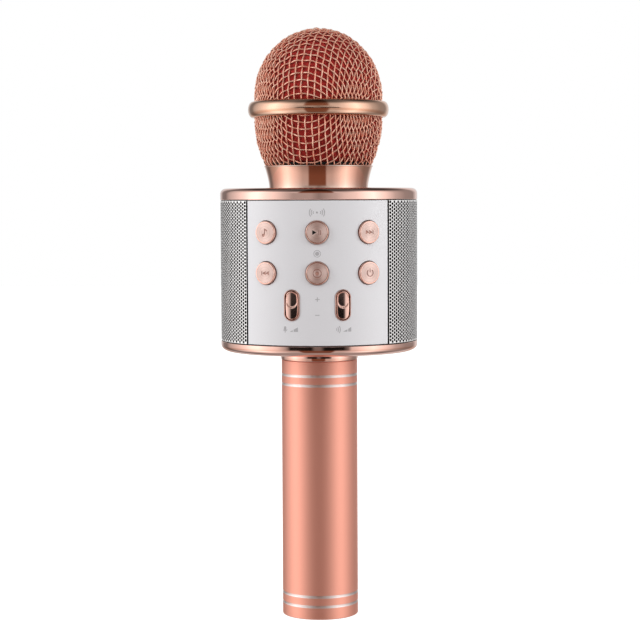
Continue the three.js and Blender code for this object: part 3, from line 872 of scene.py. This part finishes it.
def flat_plate(name, outlines, thickness, bevel, material):
    """A plate from its outer outline and its holes, with rounded edges, its face at height 0."""
    curve = bpy.data.curves.new(name, "CURVE")
    curve.dimensions = "2D"
    curve.fill_mode = "BOTH"
    curve.extrude = (thickness / 2 - bevel) * MM
    curve.bevel_depth = bevel * MM
    curve.bevel_resolution = 2
    curve.offset = -bevel * MM
    for outline in outlines:
        spline = curve.splines.new("POLY")
        spline.points.add(len(outline) - 1)
        spline.use_cyclic_u = True
        for point, (x, y) in zip(spline.points, outline):
            point.co = (x * MM, y * MM, -thickness / 2 * MM, 1)
    source = add_object(name, curve)
    mesh = final_mesh(source)
    bpy.data.objects.remove(source)
    mesh.materials.clear()
    mesh.materials.append(material)
    return add_object(name, mesh)


def wrap_plate(thing, radius, strip, middle):
    """Cuts a flat plate into upright strips and bends it round the drum, about an azimuth."""
    turn = Matrix.Rotation(middle, 3, "Z")
    with editing(thing) as work:
        bmesh.ops.remove_doubles(work, verts=work.verts, dist=0.001 * MM)
        reach = max(abs(vertex.co.x) for vertex in work.verts)
        count = int(reach / (strip * MM))
        for i in range(-count, count + 1):
            geometry = work.verts[:] + work.edges[:] + work.faces[:]
            cut = Vector((i * strip * MM, 0, 0))
            bmesh.ops.bisect_plane(work, geom=geometry, plane_co=cut, plane_no=(1, 0, 0))
        for vertex in work.verts:
            vertex.co = turn @ (Vector(wrapped(vertex.co / MM, radius)) * MM)
    smooth(thing)
    point_outwards(thing, radius)


def button_places():
    """Name, azimuth and height of each round button, from its joint and its CAD box."""
    places = []
    for name, joint in joints.items():
        if name.startswith("press_"):
            node = name.replace("press_", "button_")
            azimuth = math.atan2(-joint["axis"][0], joint["axis"][1])
            places.append((node, azimuth, middle_height(node)))
    return places


def rocker_places():
    """Name, azimuth, pivot radius and height of each rocker key."""
    places = []
    for side in ("left", "right"):
        x, y, z = (value / MM for value in joints[f"rock_{side}"]["pos_m"])
        places.append((side, math.atan2(x, -y), math.hypot(x, y), z))
    return places


def build_seam_shade_rings():
    """Black rings behind the seams between the drum's walls and its caps: painted shade that makes the seams read
    dark.
    """
    outer, inner = drum_radius - 0.3, drum_radius - skin
    for name, end, inwards in (("seam_shade_top", panel_top, -1), ("seam_shade_low", panel_bottom, 1)):
        low_face, high_face = sorted((end - 0.06 * inwards, end + (seam - 0.04) * inwards))
        ring = [(inner, low_face), (outer, low_face), (outer, high_face), (inner, high_face)]
        add_piece(name, turned(ring), "body", "rubber")


def build_panel(name, node, half_angle, openings, bevel, middle):
    """A lacquered panel of the drum's wall, with its openings cut through."""
    half_width = half_angle * drum_radius
    outline = rectangle(-half_width, panel_bottom + seam, half_width, panel_top - seam)
    thing = flat_plate(name, [outline, *openings], skin, bevel, finishes["silver_lacquer"])
    wrap_plate(thing, drum_radius, 1.2, middle)
    attach(thing, "body", [node])


def build_control_panel():
    """The front panel, with round openings for the buttons and pill-shaped ones for the keys."""
    openings = []
    for _, azimuth, height in button_places():
        openings.append(circle(button_hole, azimuth * drum_radius, height))
    width, tall = (size + bezel_outer + 0.1 for size in (rocker_width, rocker_height))
    for _, azimuth, _, height in rocker_places():
        openings.append(pill(width, tall, azimuth * drum_radius, height))
    build_panel("front_panel", "control_panel", panel_angle, openings, 0.12, 0.0)


def build_port_panel():
    """The rear panel, with an opening for each of its three sockets."""
    openings = [
        rounded_box(7, 3.3, 0.7, middle_height("usb_socket")),
        rounded_box(4.2, 1.9, 1.2, middle_height("charge_socket")),
        circle(3.4, 0, middle_height("audio_jack")),
    ]
    build_panel("rear_panel", "port_panel", port_angle, openings, 0.15, math.pi)


# ---------------- perforated grilles


def perforated_field(work, width, height):
    """Adds hexagons, each with a round hole, in staggered upright columns that fill a rectangle.

    The outermost hexagons are cut short, so that their holes stand right at the rectangle's edges.
    """
    border = 0.05
    side, crest = width / 2 - border, height / 2 - border
    outermost = side - hole_radius - border
    topmost = crest - hole_radius - border
    columns = round(2 * outermost / (1.5 * hole_pitch / math.sqrt(3)))
    spacing = 2 * outermost / columns
    rows = round(2 * topmost / hole_pitch + 0.5)
    pitch = 2 * topmost / (rows - 0.5)
    known = {}
    holes = set()

    def corner_at(x, y):
        x = max(-side, min(side, x))
        y = max(-crest, min(crest, y))
        key = (round(x, 3), round(y, 3))
        if key not in known:
            known[key] = work.verts.new((x * MM, y * MM, 0))
        return known[key]

    hexagon = [(2 / 3, 0), (1 / 3, 0.5), (-1 / 3, 0.5), (-2 / 3, 0), (-1 / 3, -0.5), (1 / 3, -0.5)]
    for column in range(columns + 1):
        x = (column - columns / 2) * spacing
        for row in range(rows):
            y = topmost - (row + column % 2 / 2) * pitch
            corners = [corner_at(x + right * spacing, y + up * pitch) for right, up in hexagon]
            ring = [work.verts.new((px * MM, py * MM, 0)) for px, py in circle(hole_radius, x, y, 12)]
            holes.update(ring)
            for k in range(6):
                inner = [ring[(2 * k + n) % 12] for n in (2, 1, 0)]
                work.faces.new([corners[k], corners[(k + 1) % 6], *inner])
    return holes


def frame_field(work, holes, width, height):
    """Fills the strip between the hexagons' zigzag edge and the sheet's straight edge."""
    edges = [edge for edge in work.edges if edge.is_boundary]
    rim = [edge for edge in edges if not any(vertex in holes for vertex in edge.verts)]
    loop = []
    for start, end in (((-1, -1), (1, -1)), ((1, -1), (1, 1)), ((1, 1), (-1, 1)), ((-1, 1), (-1, -1))):
        a = Vector((start[0] * width / 2, start[1] * height / 2, 0)) * MM
        b = Vector((end[0] * width / 2, end[1] * height / 2, 0)) * MM
        steps = int((b - a).length / (1.2 * MM))
        loop += [work.verts.new(a.lerp(b, i / steps)) for i in range(steps)]
    outer = [work.edges.new((loop[i], loop[(i + 1) % len(loop)])) for i in range(len(loop))]
    bmesh.ops.triangle_fill(work, use_beauty=True, use_dissolve=False, edges=rim + outer)


def side_span(gap):
    """First and last azimuth of what fills a side wall, with a gap to either panel."""
    return panel_angle + gap / drum_radius, math.pi - port_angle - gap / drum_radius


def build_side_grille(side, sign):
    """A sheet with every hole cut through, bent round the drum and then given its thickness."""
    start, end = side_span(side_gap)
    width = (end - start) * grille_radius
    height = panel_top - panel_bottom - 2 * seam
    turn = Matrix.Rotation(sign * (start + end) / 2, 3, "Z")
    middle = (panel_top + panel_bottom) / 2
    thing = object_from(f"perforated_{side}", ([], []), finishes["perforated_steel"])
    with editing(thing) as work:
        holes = perforated_field(work, width, height)
        frame_field(work, holes, width, height)
        for vertex in work.verts:
            x, y, _ = vertex.co / MM
            vertex.co = turn @ Vector(wrapped((x, y + middle, 0), grille_radius)) * MM
    sample = thing.data.polygons[0]
    if sample.normal.dot(Vector((sample.center.x, sample.center.y, 0))) < 0:
        thing.data.flip_normals()
    thicken = thing.modifiers.new("thickness", "SOLIDIFY")
    thicken.thickness = grille_thickness * MM
    thicken.offset = -1
    # The holes' walls take the dark material, a painted shade inside the holes.
    thicken.material_offset_rim = 1
    thing.data.materials.append(hole_wall_shade)
    settle(thing)
    smooth(thing)
    point_outwards(thing, grille_radius)
    attach(thing, "body", [f"{side}_grille"])


def build_cloth(side, sign):
    """Black cloth behind a side grille and the gaps beside it."""
    start, end = (math.degrees(azimuth) - 90 for azimuth in side_span(0.05))
    outer = grille_radius - grille_thickness - 0.25
    inner = outer - 0.3
    outline = arc((0, 0), (outer, outer), start, end, 60) + arc((0, 0), (inner, inner), end, start, 60)
    points, faces = prism(outline, panel_bottom + 0.3, panel_top - 0.3)
    points = [(sign * x, y, z) for x, y, z in points]
    add_piece(f"cloth_{side}", (points, faces), "body", "foam", material=speaker_cloth)


# ---------------- buttons and marks


def arc_band(radius, width, start, end, x=0.0, y=0.0):
    """A curved stroke."""
    inner, outer = radius - width / 2, radius + width / 2
    steps = 20
    return arc((x, y), (outer, outer), start, end, steps) + arc((x, y), (inner, inner), end, start, steps)


def triangle_mark(x, size):
    """A triangle that points to +X when its size is positive."""
    corners = [(x - size / 2, -abs(size) * 0.55), (x + size / 2, 0), (x - size / 2, abs(size) * 0.55)]
    return corners if size > 0 else corners[::-1]


def play_pause():
    return [triangle_mark(-1.0, 1.7), rectangle(0.55, -0.9, 0.9, 0.9), rectangle(1.25, -0.9, 1.6, 0.9)]


def skip(direction):
    marks = [triangle_mark(shift * direction, 1.5 * direction) for shift in (-1.15, 0.35)]
    bar = 1.4 * direction
    return marks + [rectangle(bar - 0.15, -0.85, bar + 0.15, 0.85)]


def note():
    flag = [(0.15, 1.5), (0.15, 0.95), (1.1, 0.35), (1.1, 0.9)]
    return [circle(0.62, -0.6, -1.1, 24), rectangle(-0.2, -1.1, 0.15, 1.5), flag]


def dot_in_ring(dot, count, radius, stroke):
    """A dot in a ring of two strokes; the count is the dot's number of corners."""
    ring = [arc_band(radius, stroke, start + 2, start + 178) for start in (0, 180)]
    return [circle(dot, 0, 0, count), *ring]


def power():
    return [arc_band(1.35, 0.34, -230, 50), rectangle(-0.17, 0.2, 0.17, 1.7)]


# The pictogram on each button: its painted outlines and its bare engraved ones.
button_icons = {
    "button_top_left": ([], note()),
    "button_top_middle": (play_pause()[:1], play_pause()[1:]),
    "button_top_right": ([], skip(1)),
    "button_low_left": ([], skip(-1)),
    "button_low_middle": ([], dot_in_ring(0.75, 24, 1.6, 0.32)),
    "button_low_right": ([], power()),
}


def carve(cap, outlines, floor, place, fill):
    """Cuts outlines into a button's face, down to a floor of another material."""
    cap.data.materials.append(fill)
    slot_index = len(cap.data.materials) - 1
    shape = merged([prism(outline, floor, floor + 1) for outline in outlines])
    cutter = object_from("icon", shape, fill, place)
    while len(cutter.data.materials) <= slot_index:
        cutter.data.materials.append(fill)
    for polygon in cutter.data.polygons:
        polygon.material_index = slot_index
    outward(cutter)
    cut = cap.modifiers.new("icon", "BOOLEAN")
    cut.operation = "DIFFERENCE"
    cut.solver = "EXACT"
    cut.use_self = True
    cut.object = cutter
    settle(cap)
    bpy.data.objects.remove(cutter)


def build_button(node, azimuth, height):
    """A spun-metal cap with a polished edge and an engraved pictogram, and its stem behind the panel."""
    place = wall_frame(azimuth, height)
    radius = button_radius
    face = drum_radius + 0.8
    foot = drum_radius - 4.1
    flange = 0.7
    crown = 0.15
    polished_from = 4.0
    stem = [(0, foot), (1.8, foot), (1.8, foot + flange)]
    stem += [(5.3, foot + flange), (5.3, foot + 2 * flange), (radius, foot + 2 * flange)]
    edge = edge_top(radius, face, 0.35, 6)
    groove = [(3.95, face + 0.01), (3.9, face - 0.04), (3.8, face - 0.04), (3.75, face + 0.02)]
    dome_radius = 3.6
    shares = [1 - i / 8 for i in range(9)]
    dome = [(dome_radius * out, face + 0.03 + crown * (1 - out**2)) for out in shares]
    shape = turned([*stem, *edge, *groove, *dome], 72)
    cap = object_from(node.replace("button", "cap"), shape, finishes["brushed_rose_gold"], place)
    outward(cap)
    for outlines, fill in zip(button_icons[node], (black_fill, engraving)):
        if outlines:
            carve(cap, outlines, face - 0.06, place, fill)
    smooth(cap, 30)
    edge_metal = finishes["polished_rose_gold"]
    second_material(cap, edge_metal, lambda spot: math.hypot(spot.x, spot.y) > polished_from)
    attach(cap, node, [node])


mark_reach = 0.85
mark_stroke = 0.15


def mark_on_panel(name, outlines, azimuth, height, scale=1.0):
    """Thin printed marks on the control panel."""
    along = azimuth * drum_radius
    shapes = []
    for outline in outlines:
        points, faces = prism([(along + x * scale, height + y * scale) for x, y in outline], -0.03, 0.03)
        shapes.append(([wrapped(point, drum_radius) for point in points], faces))
    add_piece(name, merged(shapes), "body", "silver_lacquer", material=ink)


def minus_mark():
    return [rectangle(-mark_reach, -mark_stroke, mark_reach, mark_stroke)]


def plus_mark():
    upper = rectangle(-mark_stroke, mark_stroke, mark_stroke, mark_reach)
    lower = rectangle(-mark_stroke, -mark_reach, mark_stroke, -mark_stroke)
    return [*minus_mark(), upper, lower]


def wave_marks(x, facing):
    """Three growing arcs, like spreading sound."""
    start = -40 if facing > 0 else 140
    return [arc_band(0.6 + 0.55 * i, 0.22, start, start + 80, x) for i in range(3)]


def microphone_mark(x):
    head = pill(0.75, 1.3, x, 0.35, 8)
    holder = arc_band(0.7, 0.18, 200, 340, x, 0.25)
    stand = rectangle(x - 0.09, -0.95, x + 0.09, -0.45)
    return [head, holder, stand]


def wedge_mark(x):
    return [[(x - 1.3, -0.7), (x + 1.3, -0.7), (x + 1.3, 0.7)]]


def build_marks():
    """Small pictograms in place of lettering, with a plus and a minus between the rocker keys."""
    rows = {round(height, 1) for _, _, height in button_places()}
    top_row, low_row = max(rows), min(rows)
    (_, left_turn, _, rocker_row), (_, right_turn, _, _) = rocker_places()
    waves = [*wave_marks(0.5, 1), *wave_marks(-0.5, -1), circle(0.3, 0, 0, 16)]
    mark_on_panel("mark_scan", waves, 0, top_row + 7.7, 1.35)
    mark_on_panel("mark_record", dot_in_ring(0.6, 20, 1.0, 0.18), 0, low_row + 7.6, 1.3)
    mark_on_panel("mark_plus", plus_mark(), 0, rocker_row + 2.3)
    mark_on_panel("mark_minus", minus_mark(), 0, rocker_row - 3.8)
    foot_row = rocker_row - 9.4
    mark_on_panel("mark_voice", microphone_mark(-2.2) + wedge_mark(0.6), left_turn, foot_row, 1.25)
    mark_on_panel("mark_echo", wave_marks(-2.6, 1) + wedge_mark(1.3), right_turn, foot_row, 1.25)


# ---------------- rocker keys


def rocker_height_at(x, y, edge):
    """Height of a rocker key's face: gently crowned, round at its edge, recessed in its upper part."""
    half = rocker_width / 2
    bulge = 0.3
    rounding = 0.35
    crown = bulge * (1 - (x / half) ** 2)
    short = max(0.0, 1 - edge * half / rounding)
    crown += rounding * math.sqrt(max(0.0, 1 - short**2))
    rim = 0.42
    recess = half - rim
    recess_foot = -0.9
    depth = 0.22
    nearest = min(max(y, recess_foot + recess), rocker_height / 2 - half)
    inside = recess - math.hypot(x, y - nearest)
    slope_width = 0.16
    step = min(1.0, max(0.0, inside / slope_width))
    return crown - depth * step * step * (3 - 2 * step)


def build_rocker(side, azimuth, pivot, height):
    """A rocker key as a fine height field over its pill outline, with straight sides below."""
    body = f"rocker_{side}"
    rings, count = 46, 160
    half = rocker_width / 2
    straight = rocker_height / 2 - half
    shoulder = drum_radius - 0.25
    underside = drum_radius - 2.1
    points, faces = [], []
    outline = []
    for i in range(count):
        turn = 2 * math.pi * i / count
        x, y = math.cos(turn), math.sin(turn)
        outline.append((x, y, straight * max(-1.0, min(1.0, 2.2 * y))))
    for ring in range(rings + 1):
        share = ring / rings
        for x, y, medial in outline:
            px, py = x * half * share, medial + y * half * share
            points.append((px, py, shoulder + rocker_height_at(px, py, 1 - share)))
    for level in (shoulder - 0.12, underside):
        points += [(x * half, medial + y * half, level) for x, y, medial in outline]
    for start in range(0, (rings + 2) * count, count):
        for i in range(count):
            a, b = start + i, start + (i + 1) % count
            faces.append((a, a + count, b + count, b))
    faces.append(tuple(reversed(range(len(points) - count, len(points)))))
    place = wall_frame(azimuth, height)
    thing = object_from(f"key_{side}", (points, faces), finishes["polished_rose_gold"], place)
    with editing(thing) as work:
        bmesh.ops.remove_doubles(work, verts=work.verts, dist=0.002 * MM)
    smooth(thing, 40)
    attach(thing, body, [body])
    lug = prism(rounded_box(2, 2.2, 0.4), pivot - 1.6, underside)
    add_piece(f"key_lug_{side}", lug, body, "black_plastic", place=place)


def build_bezel(side, azimuth, height):
    """A thin ring that stands a little proud of the panel round a rocker key."""
    rims = [pill(rocker_width + grow, rocker_height + grow) for grow in (bezel_outer, bezel_inner)]
    thing = flat_plate(f"bezel_ring_{side}", rims, 1.8, 0.12, finishes["polished_rose_gold"])
    proud = Matrix.Translation((0, 0, (drum_radius + 0.22) * MM))
    thing.matrix_world = wall_frame(azimuth, height) @ proud
    outward(thing)
    smooth(thing)
    attach(thing, "body", [f"rocker_bezel_{side}"])


# ---------------- handle


def build_handle():
    """The anodised tube, with four diamond-cut rings."""
    chamfer = 0.2
    depth = 0.1
    outside = edge_foot(handle_radius, 0, 0.5, 8)
    for middle, sixth in product(ring_heights, range(-3, 4)):
        radius = handle_radius - depth * math.cos(sixth * math.pi / 6)
        outside.append((radius, middle + ring_width * sixth / 6))
    outside += [(handle_radius, handle_top - chamfer), (handle_radius - chamfer, handle_top)]
    shape = turned([(handle_bore, 0), *outside, (handle_bore, handle_top)])
    thing = add_piece("grip_tube", shape, "body", "satin_rose_gold", ["handle_tube"], crease=12)

    def on_ring(spot):
        off_ring = min(abs(spot.z - middle) for middle in ring_heights)
        return off_ring < ring_width / 2 and math.hypot(spot.x, spot.y) > handle_bore + 0.5

    second_material(thing, cut_silver, on_ring)


def build_flange():
    """A polished ring with a plug in the handle and a neck in the drum's floor."""
    radius = high("handle_flange").x
    bottom, top = handle_top + 0.1, drum_bottom - 0.1
    plug_foot, neck_top = 95, 111.5
    bore, neck = 5, 9
    edge = 0.35
    bulge = (radius + 0.06, (bottom + top) / 2)
    rim = [*edge_foot(radius, bottom, edge, 5), bulge, *edge_top(radius, top, edge, 5)]
    plug = [(bore, plug_foot), (plug_radius, plug_foot), (plug_radius, bottom)]
    shape = turned([*plug, *rim, (neck, top), (neck, neck_top), (bore, neck_top)])
    add_piece("handle_ring", shape, "body", "polished_rose_gold", ["handle_flange"])


def build_end_cap():
    """Closing plug of the handle, with fine turned grooves in its face."""
    top = high("end_cap").z
    floor = 3
    chamfer = 0.3
    inner = plug_radius - 1.5
    face = [(0, 0)]
    for i in range(1, 7):
        radius = plug_radius * i / 7.5
        face += [(radius - 0.15, 0), (radius, 0.12), (radius + 0.15, 0)]
    side = [(plug_radius - chamfer, 0), (plug_radius, chamfer), (plug_radius, top)]
    shape = turned([*face, *side, (inner, top), (inner, floor), (0, floor)])
    add_piece("end_plug", shape, "body", "satin_rose_gold", ["end_cap"])


# ---------------- inner pieces


def dress_cad_nodes():
    """Gives each CAD node that stays in view its slot's finish and smooth shading."""
    slots = {part["node"]: part["material_slot"] for part in frame["record"]["subparts"]}
    for name, node in frame["nodes"].items():
        node.data.materials.clear()
        node.data.materials.append(finishes[slots[name]])
        node.data.shade_smooth()
        node.data.set_sharp_from_angle(angle=math.radians(34))


# ---------------- stage


def build_stage():
    """A pale floor; beyond the faint shadow near the object it melts into the white background."""
    reach = 3.0 / MM
    points = [(x, y, 0) for x, y in rectangle(-reach, -reach, reach, reach)]
    inputs = {"Specular_IOR_Level": 0.0, "Emission_Color": (1, 1, 1, 1)}
    floor = new_material("floor", (0.85, 0.85, 0.85), roughness=1.0, **inputs)
    away = add_node(floor, "ShaderNodeVectorMath", {"Vector": object_place(floor)}, operation="LENGTH")
    feed(floor, spread(floor, away.outputs["Value"], 0.72, 1.0, 0.05, 0.4), "Emission Strength")
    thing = object_from("floor", (points, [(0, 1, 2, 3)]), floor)
    thing.visible_glossy = False
    thing.visible_diffuse = False


def add_fill(name, azimuth, elevation, size, power):
    """A large soft lamp that lights matt surfaces without showing in the polished ones."""
    data = bpy.data.lights.new(name, "AREA")
    data.shape = "RECTANGLE"
    data.size, data.size_y = size
    data.energy = power
    lamp = add_object(name, data)
    aim = Vector((0, 0, 0.15))
    turn = Matrix.Rotation(azimuth, 4, "Z") @ Matrix.Rotation(-elevation, 4, "X")
    lamp.location = aim + turn @ Vector((0, -1, 0))
    lamp.rotation_euler = (aim - lamp.location).to_track_quat("-Z", "Y").to_euler()
    lamp.visible_glossy = False


# Brightness of the studio by azimuth from the camera, in degrees: a plain background behind and
# a large soft light on either side.
studio_left = (
    (-180, 0.75), (-162, 0.68), (-150, 0.24), (-138, 0.22), (-128, 0.55), (-110, 0.9), (-96, 1.25),
    (-86, 1.7), (-76, 1.8), (-64, 1.35), (-50, 1.0),
)
studio_right = (
    (44, 1.0), (56, 1.4), (66, 1.65), (76, 1.3), (88, 0.95), (100, 0.58), (120, 0.34), (142, 0.3),
    (156, 0.75), (180, 0.8),
)
# Between them is the dark gap round the camera: grey when level with the object, black a little
# lower down, and a narrower, warm brown above and below.
level_gap = ((-40, 0.7), (-30, 0.43), (-9, 0.44), (0, 0.28), (9, 0.4), (20, 0.55), (30, 0.8))
low_gap = (
    (-40, 0.5), (-34, 0.02), (-9, 0.01), (-5, 0.2), (1, 0.2), (6, 0.01), (28, 0.01), (34, 0.2), (38, 0.85),
)
brown = (0.23, 0.11, 0.07)
steep_gap = ((-38, 0.66), (-25, 0.62), (-22, brown), (16, brown), (19, 0.66), (32, 0.7))
# Share of the studio's brightness by elevation, warmer and dimmer just below the object, and the
# plain brightness added to it.
studio_share = (
    (-90, 0.0), (-62, 0.0), (-50, 0.6), (-38, 0.92), (-28, 0.88), (-19, (0.76, 0.60, 0.52)),
    (-11, (0.84, 0.72, 0.66)), (-4, 1.0), (24, 1.0), (34, 0.5), (48, 0.12), (90, 0.1),
)
studio_plain = ((-90, 0.36), (-62, 0.36), (-50, 0.0), (90, 0.0))


def light_world(camera_azimuth):
    """The studio as the object's surroundings; the camera itself sees plain white."""
    world = bpy.data.worlds.new("studio")
    bpy.context.scene.world = world
    world.use_nodes = True

    def maths(operation, *values, kind="ShaderNodeMath"):
        return add_node(world, kind, dict(enumerate(values)), operation=operation).outputs[0]

    def colour_maths(operation, *values):
        return maths(operation, *values, kind="ShaderNodeVectorMath")

    def by_angle(angle, span, stops):
        """A curve of light against an angle in radians; a ramp holds at most 1, so it's halved."""
        along = maths("ADD", maths("DIVIDE", angle, math.radians(span)), 0.5)
        ramp = add_node(world, "ShaderNodeValToRGB", {"Fac": along})
        while len(ramp.color_ramp.elements) < len(stops):
            ramp.color_ramp.elements.new(1.0)
        for element, (place, light) in zip(ramp.color_ramp.elements, stops):
            colour = light if isinstance(light, tuple) else (light, light, light)
            element.position = place / span + 0.5
            element.color = (*(part / 2 for part in colour), 1)
        return colour_maths("MULTIPLY", ramp.outputs["Color"], (2, 2, 2))

    def blend(first, second, share):
        kept = colour_maths("MULTIPLY", first, maths("SUBTRACT", 1.0, share))
        return colour_maths("ADD", kept, colour_maths("MULTIPLY", second, share))

    place = add_node(world, "ShaderNodeTexCoord").outputs["Generated"]
    inputs = {"Vector": place, "Rotation": (0, 0, -camera_azimuth)}
    turn = add_node(world, "ShaderNodeMapping", inputs).outputs["Vector"]
    x, y, z = add_node(world, "ShaderNodeSeparateXYZ", {0: turn}).outputs
    azimuth = maths("ARCTAN2", x, maths("MULTIPLY", y, -1.0))
    elevation = maths("ARCSINE", z)
    gaps = (level_gap, low_gap, steep_gap)
    lit, lower, steep = (by_angle(azimuth, 360, studio_left + gap + studio_right) for gap in gaps)
    for other, start, end in ((lower, -1.8, -2.8), (steep, -8, -10), (steep, 6, 12)):
        share = spread(world, elevation, 0, 1, math.radians(start), math.radians(end))
        lit = blend(lit, other, share)
    share = by_angle(elevation, 180, studio_share)
    plain = by_angle(elevation, 180, studio_plain)
    lit = colour_maths("MULTIPLY_ADD", lit, share, plain)
    seen = add_node(world, "ShaderNodeLightPath").outputs["Is Camera Ray"]
    background = world.node_tree.nodes["Background"].inputs["Color"]
    world.node_tree.links.new(blend(lit, (1, 1, 1), seen), background)


def add_camera(azimuth):
    """Looks at the microphone from a little above the bottom of the drum's top cap."""
    distance = 0.772
    eye = 0.169
    aside = 0.0003
    tilt = math.radians(3.59)
    roll = math.radians(-0.25)
    data = bpy.data.cameras.new("camera")
    data.lens = 106.6
    camera = add_object("camera", data)
    turn = Matrix.Rotation(azimuth, 4, "Z")
    camera.location = turn @ Vector((aside, -distance, eye))
    look = turn @ Matrix.Rotation(math.pi / 2 - tilt, 4, "X") @ Matrix.Rotation(roll, 4, "Z")
    camera.rotation_euler = look.to_euler()
    bpy.context.scene.camera = camera


# ---------------- assembly

dress_cad_nodes()
build_grille()
build_band()
build_foam()
build_collar()
build_capsule()
build_top_cap()
build_bottom_cap()
build_seam_shade_rings()
build_control_panel()
build_port_panel()
for side_name, side_sign in (("left", -1), ("right", 1)):
    build_side_grille(side_name, side_sign)
    build_cloth(side_name, side_sign)
for place in button_places():
    build_button(*place)
for side_name, turn, pivot_radius, row in rocker_places():
    build_rocker(side_name, turn, pivot_radius, row)
    build_bezel(side_name, turn, row)
build_marks()
build_handle()
build_flange()
build_end_cap()

build_stage()
for name, side in (("fill_left", -1), ("fill_right", 1)):
    add_fill(name, side * math.radians(72), math.radians(18), (0.5, 0.7), 4.6)
add_fill("fill_front", 0.0, math.radians(58), (0.8, 0.5), 3.3)
view_azimuth = math.radians(1)
light_world(view_azimuth)
add_camera(view_azimuth)
bpy.context.scene.view_settings.view_transform = "Standard"
